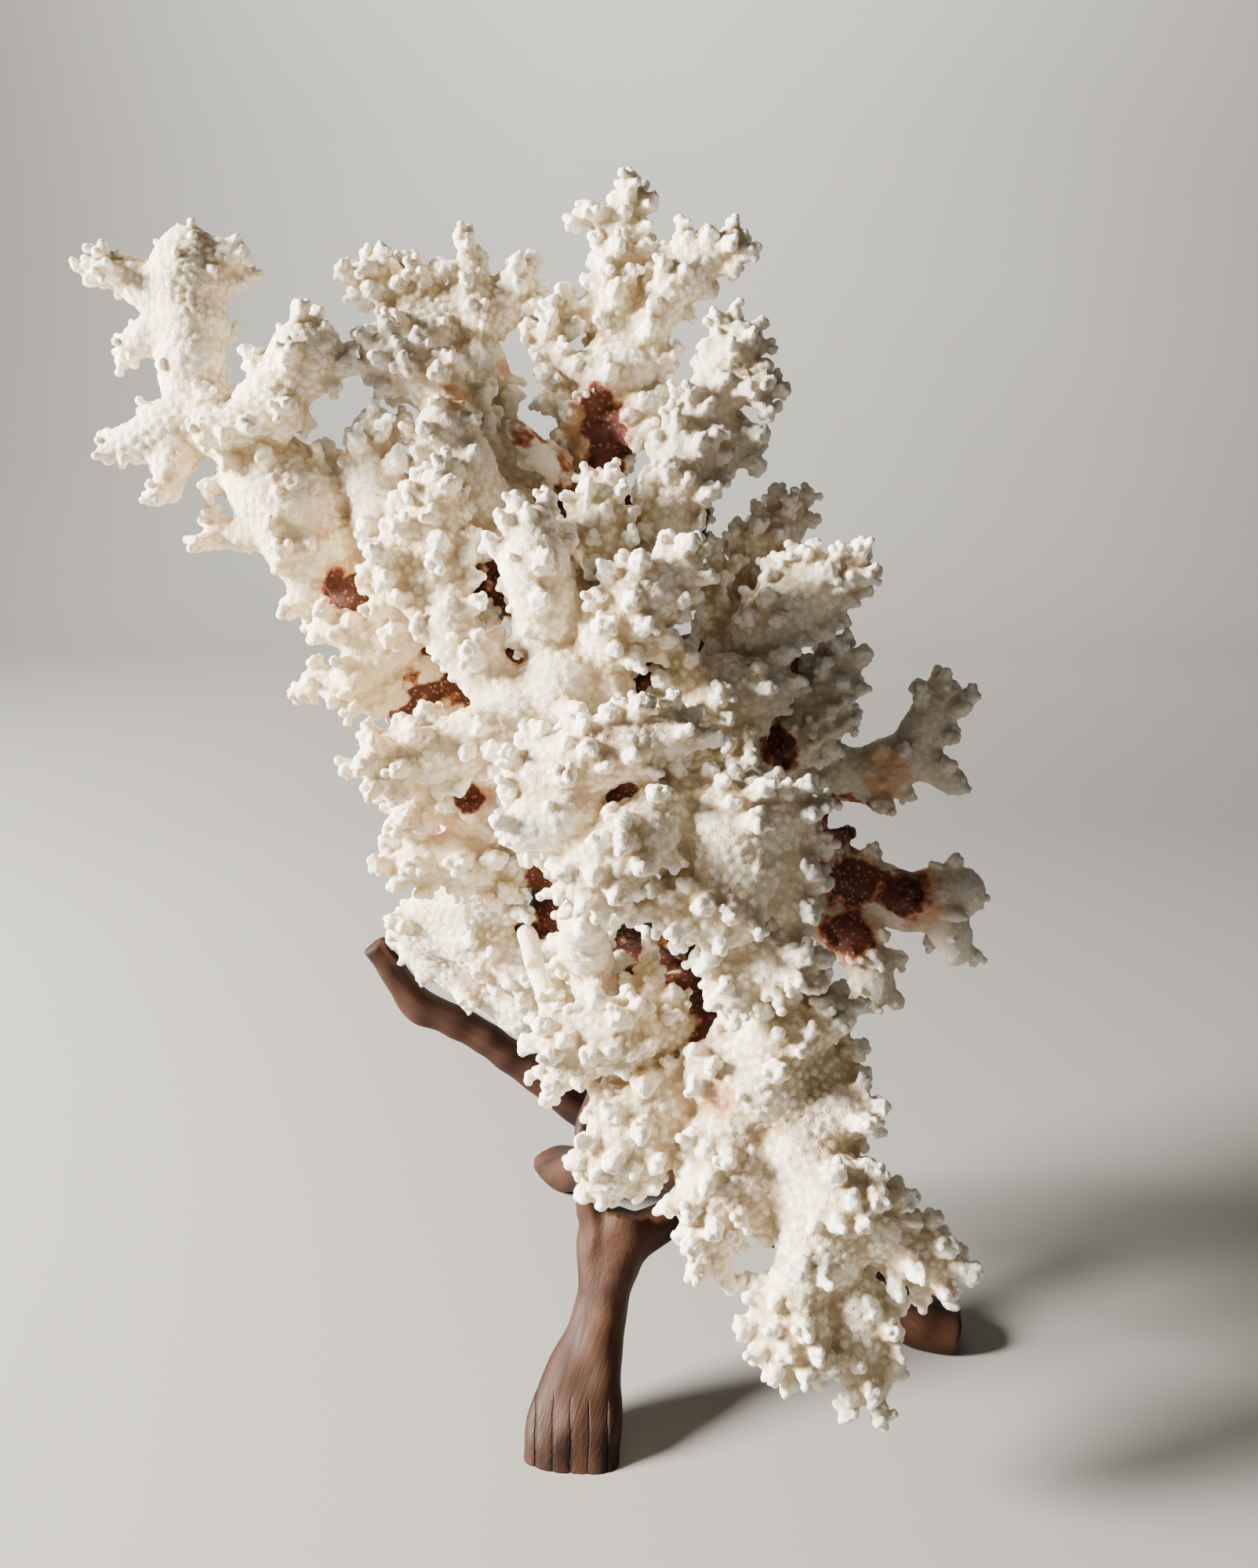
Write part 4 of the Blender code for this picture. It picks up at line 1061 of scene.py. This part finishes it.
def build_stand():
    """The three legs, each fused from its strands."""
    paint = wood_material()
    for name, node, strands in LEGS:
        parts = [leg_strand(strand, strand is FRONT_LEG) for strand in strands]
        item = fused(name, parts, *LEG_SKIN)
        carve_leg(item, node == "front_leg")
        store_grain(item)
        item.data.shade_smooth()
        item.data.materials.append(paint)
        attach(item, "root")
        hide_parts(node)


class Nodes:
    """A short way to build a material's nodes."""

    def __init__(self, name):
        self.material = bpy.data.materials.new(name)
        self.material.use_nodes = True
        self.tree = self.material.node_tree
        self.shader = self.tree.nodes["Principled BSDF"]

    def add(self, kind, inputs=None, **settings):
        """A new node; an input is a number, a colour or another node's output."""
        node = self.tree.nodes.new("ShaderNode" + kind)
        for key, value in settings.items():
            setattr(node, key, value)
        for key, value in (inputs or {}).items():
            self.feed(node.inputs[key], value)
        return node

    def feed(self, socket, value):
        if isinstance(value, bpy.types.NodeSocket):
            self.tree.links.new(value, socket)
        else:
            socket.default_value = value

    def places(self):
        return self.add("TexCoord").outputs["Object"]

    def value(self, name):
        return self.add("Attribute", attribute_name=name).outputs["Fac"]

    def sums(self, operation, *terms):
        node = self.add("Math", operation=operation)
        for socket, term in zip(node.inputs, terms):
            self.feed(socket, term)
        return node.outputs[0]

    def fade(self, value, low, high):
        """0 below low, 1 above high."""
        node = self.add("MapRange", {"Value": value, "From Min": low, "From Max": high})
        return node.outputs[0]

    def mix(self, share, a, b):
        node = self.add("Mix", data_type="RGBA")
        self.feed(node.inputs[0], share)
        self.feed(node.inputs[6], a if isinstance(a, bpy.types.NodeSocket) else (*a, 1.0))
        self.feed(node.inputs[7], b if isinstance(b, bpy.types.NodeSocket) else (*b, 1.0))
        return node.outputs[2]

    def tint(self, colour, share, strength, towards):
        """The colour, moved towards another by the strength times the share."""
        return self.mix(self.sums("MULTIPLY", share, strength), colour, towards)

    def stretched(self, where, scale):
        return self.add("Mapping", {"Vector": where, "Scale": scale}).outputs[0]

    def noise(self, where, scale, detail=3.0):
        return self.add("TexNoise", {"Vector": where, "Scale": scale,
                                     "Detail": detail}).outputs["Fac"]

    def cells(self, where, scale):
        return self.add("TexVoronoi", {"Vector": where, "Scale": scale}).outputs["Distance"]

    def bump(self, height, strength, distance, under=None):
        node = self.add("Bump", {"Height": height, "Strength": strength, "Distance": distance})
        if under is not None:
            self.feed(node.inputs["Normal"], under)
        return node.outputs[0]

    def finish(self, colour, roughness, normal, specular):
        """Feed the shader."""
        self.feed(self.shader.inputs["Base Color"], colour)
        self.feed(self.shader.inputs["Roughness"], roughness)
        self.feed(self.shader.inputs["Normal"], normal)
        self.shader.inputs["Specular IOR Level"].default_value = specular


def pale_skin(n, where, pore, shades):
    """Creamy in the hollows as painted shade and dirt, whiter on the warts partly as a painted
    highlight, tinted by the stored values.
    """
    creamy, ivory, pale = shades
    relief = n.value("relief")
    blotch = n.noise(where, BLOTCHES)
    skin = n.mix(n.fade(relief, *HOLLOW_FADE), creamy, ivory)
    skin = n.mix(n.fade(relief, *WART_FADE), skin, pale)
    skin = n.tint(skin, n.fade(blotch, *BLOTCH_FADE), BLOTCH_STRENGTH, creamy)
    # Painted shade among the tints: in the creases, and over the right-hand limbs
    for name, strength, colour in TINTS:
        skin = n.tint(skin, n.value(name), strength, colour)
    # Painted shade in the pores
    skin = n.tint(skin, pore, *PORE_SHADE)
    return n.mix(n.value("broken"), skin, n.mix(blotch, *BROKEN_SHADES))


def stained(n, where, skin):
    """Orange stains, and red-brown stretches with pale dots, over the pale skin."""
    coarse = n.sums("MULTIPLY", n.noise(where, FRAY_COARSE), FRAY_GAIN)
    fray = n.sums("ADD", n.sums("ADD", coarse, n.noise(where, FRAY_FINE)), -FRAY_MIDDLE)
    frayed = {}
    for name in ("rust", "heart"):
        near = n.fade(n.value(name), *FRAY_FADE)
        frayed[name] = n.sums("ADD", n.value(name), n.sums("MULTIPLY", fray, near))
    skin = n.tint(skin, n.fade(frayed["rust"], *RUST_FADE), *RUST_TINT)
    dark = n.mix(n.fade(n.noise(where, FRAY_COARSE), *DARK_FADE), *HEART_SHADES)
    dotted = n.tint(dark, n.fade(n.cells(where, DOTS), *DOT_FADE), *DOT_TINT)
    fringe = n.mix(n.fade(frayed["heart"], *FRINGE_FADE), skin, FRINGE)
    return n.mix(n.fade(frayed["heart"], *HEART_FADE), fringe, dotted)


def coral_material(name, shades):
    """Pale porous skin with orange and red-brown patches, and painted shade in its hollows, creases
    and pores.
    """
    n = Nodes(name)
    where = n.places()
    grain = n.noise(where, GRAIN, 2.0)
    pore = n.fade(n.cells(where, PORES), *PORE_FADE)
    colour = stained(n, where, pale_skin(n, where, pore, shades))
    fine = n.bump(grain, 0.25, 0.0002)
    pitted = n.bump(n.sums("SUBTRACT", 1.0, pore), 0.45, 0.0003, fine)
    n.finish(colour, n.fade(grain, *CORAL_ROUGHNESS), pitted, 0.3)
    n.shader.inputs["Subsurface Weight"].default_value = 0.2
    n.shader.inputs["Subsurface Radius"].default_value = (1.0, 0.85, 0.65)
    n.shader.inputs["Subsurface Scale"].default_value = 0.0025
    return n.material


def toe_cracks(n, grain):
    """Dark lines between the toes of the front foot, 0 to 1."""
    side = n.add("SeparateXYZ", {"Vector": n.places()}).outputs["X"]
    wander = n.sums("MULTIPLY", n.noise(grain, WANDER), CRACK_WANDER * MM)
    off = n.sums("ADD", n.sums("ADD", side, wander), -(TOE_MIDDLE + CRACK_WANDER / 2.0) * MM)
    wave = n.sums("COSINE", n.sums("MULTIPLY", off, math.tau / (TOE_WIDTH * MM)))
    return n.sums("MULTIPLY", n.fade(wave, *CRACK_FADE), n.value("foot"))


def wood_material():
    """Satin red-brown wood with darker streaks along its grain."""
    n = Nodes("carved_wood")
    grain = n.add("Attribute", attribute_name="grain").outputs["Vector"]
    streaks = n.noise(n.stretched(grain, STREAK_SCALE), 1.0, 5.0)
    fibres = n.noise(n.stretched(grain, FIBRE_SCALE), 1.0)
    crack = toe_cracks(n, grain)
    colour = n.mix(n.fade(streaks, *STREAK_FADE), *WOOD_SHADES)
    colour = n.tint(colour, n.fade(n.noise(grain, WEAR), *WEAR_FADE), *WEAR_TINT)
    colour = n.tint(colour, n.fade(fibres, *FIBRE_FADE), *FIBRE_TINT)
    colour = n.tint(colour, crack, *CRACK_TINT)
    rough = n.sums("ADD", n.sums("MULTIPLY", fibres, FIBRE_ROUGHNESS), WOOD_ROUGHNESS)
    coarse = n.bump(streaks, 0.3, 0.0006)
    split = n.bump(n.sums("SUBTRACT", 1.0, crack), 0.9, 0.0008, coarse)
    n.finish(colour, rough, n.bump(fibres, 0.45, 0.0003, split), 0.2)
    return n.material


def stage_material():
    """Matt, pale and a little uneven."""
    n = Nodes("pale_studio")
    soft = n.noise(n.places(), 3.0)
    n.feed(n.shader.inputs["Base Color"], n.mix(soft, *FLOOR_SHADES))
    n.shader.inputs["Roughness"].default_value = 0.85
    return n.material


def build_stage():
    """A pale floor that curves up into a wall behind."""
    profile = [(FLOOR_FRONT, 0.0), (FLOOR_BACK, 0.0)]
    for i in range(1, BEND_STEPS + 1):
        angle = math.pi / 2.0 * i / BEND_STEPS
        profile.append((FLOOR_BACK + BEND * math.sin(angle), BEND * (1.0 - math.cos(angle))))
    profile.append((FLOOR_BACK + BEND, WALL_TOP))
    bm = bmesh.new()
    left, right = ([bm.verts.new((x, y, z)) for y, z in profile]
                   for x in (-FLOOR_HALF, FLOOR_HALF))
    for i in range(len(profile) - 1):
        bm.faces.new((left[i], right[i], right[i + 1], left[i + 1]))
    mesh = bpy.data.meshes.new("studio_floor")
    bm.to_mesh(mesh)
    bm.free()
    mesh.shade_smooth()
    floor = place("studio_floor", mesh)
    floor.data.materials.append(stage_material())


def build_light():
    """Soft daylight from a window at the left, a faint fill, and light on the wall."""
    for name, location, target, size, power, colour in LAMPS:
        lamp = bpy.data.lights.new(name, "AREA")
        lamp.shape = "DISK"
        lamp.size = size
        lamp.energy = power
        lamp.color = colour
        item = place(name, lamp)
        item.location = location
        away = Vector(location) - Vector(target)
        item.rotation_euler = away.to_track_quat("Z", "Y").to_euler()
    world = bpy.data.worlds.new("soft_room")
    world.use_nodes = True
    sky = world.node_tree.nodes["Background"]
    sky.inputs["Color"].default_value = SKY_COLOUR
    sky.inputs["Strength"].default_value = SKY_STRENGTH
    bpy.context.scene.world = world


def build_camera():
    """The camera at the photograph's place and angle."""
    lens = bpy.data.cameras.new("camera")
    lens.sensor_width = SENSOR
    lens.lens = LENS
    item = place("camera", lens)
    turn = Matrix((Vector(ACROSS), Vector(UPWARD), -Vector(AHEAD))).transposed()
    item.matrix_world = Matrix.Translation(Vector(EYE * MM)) @ turn.to_4x4()
    bpy.context.scene.camera = item


def main():
    """Load the frame and build the looks round it."""
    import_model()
    build_camera()
    build_coral(np.random.default_rng(SEED))
    build_stand()
    build_stage()
    build_light()


main()
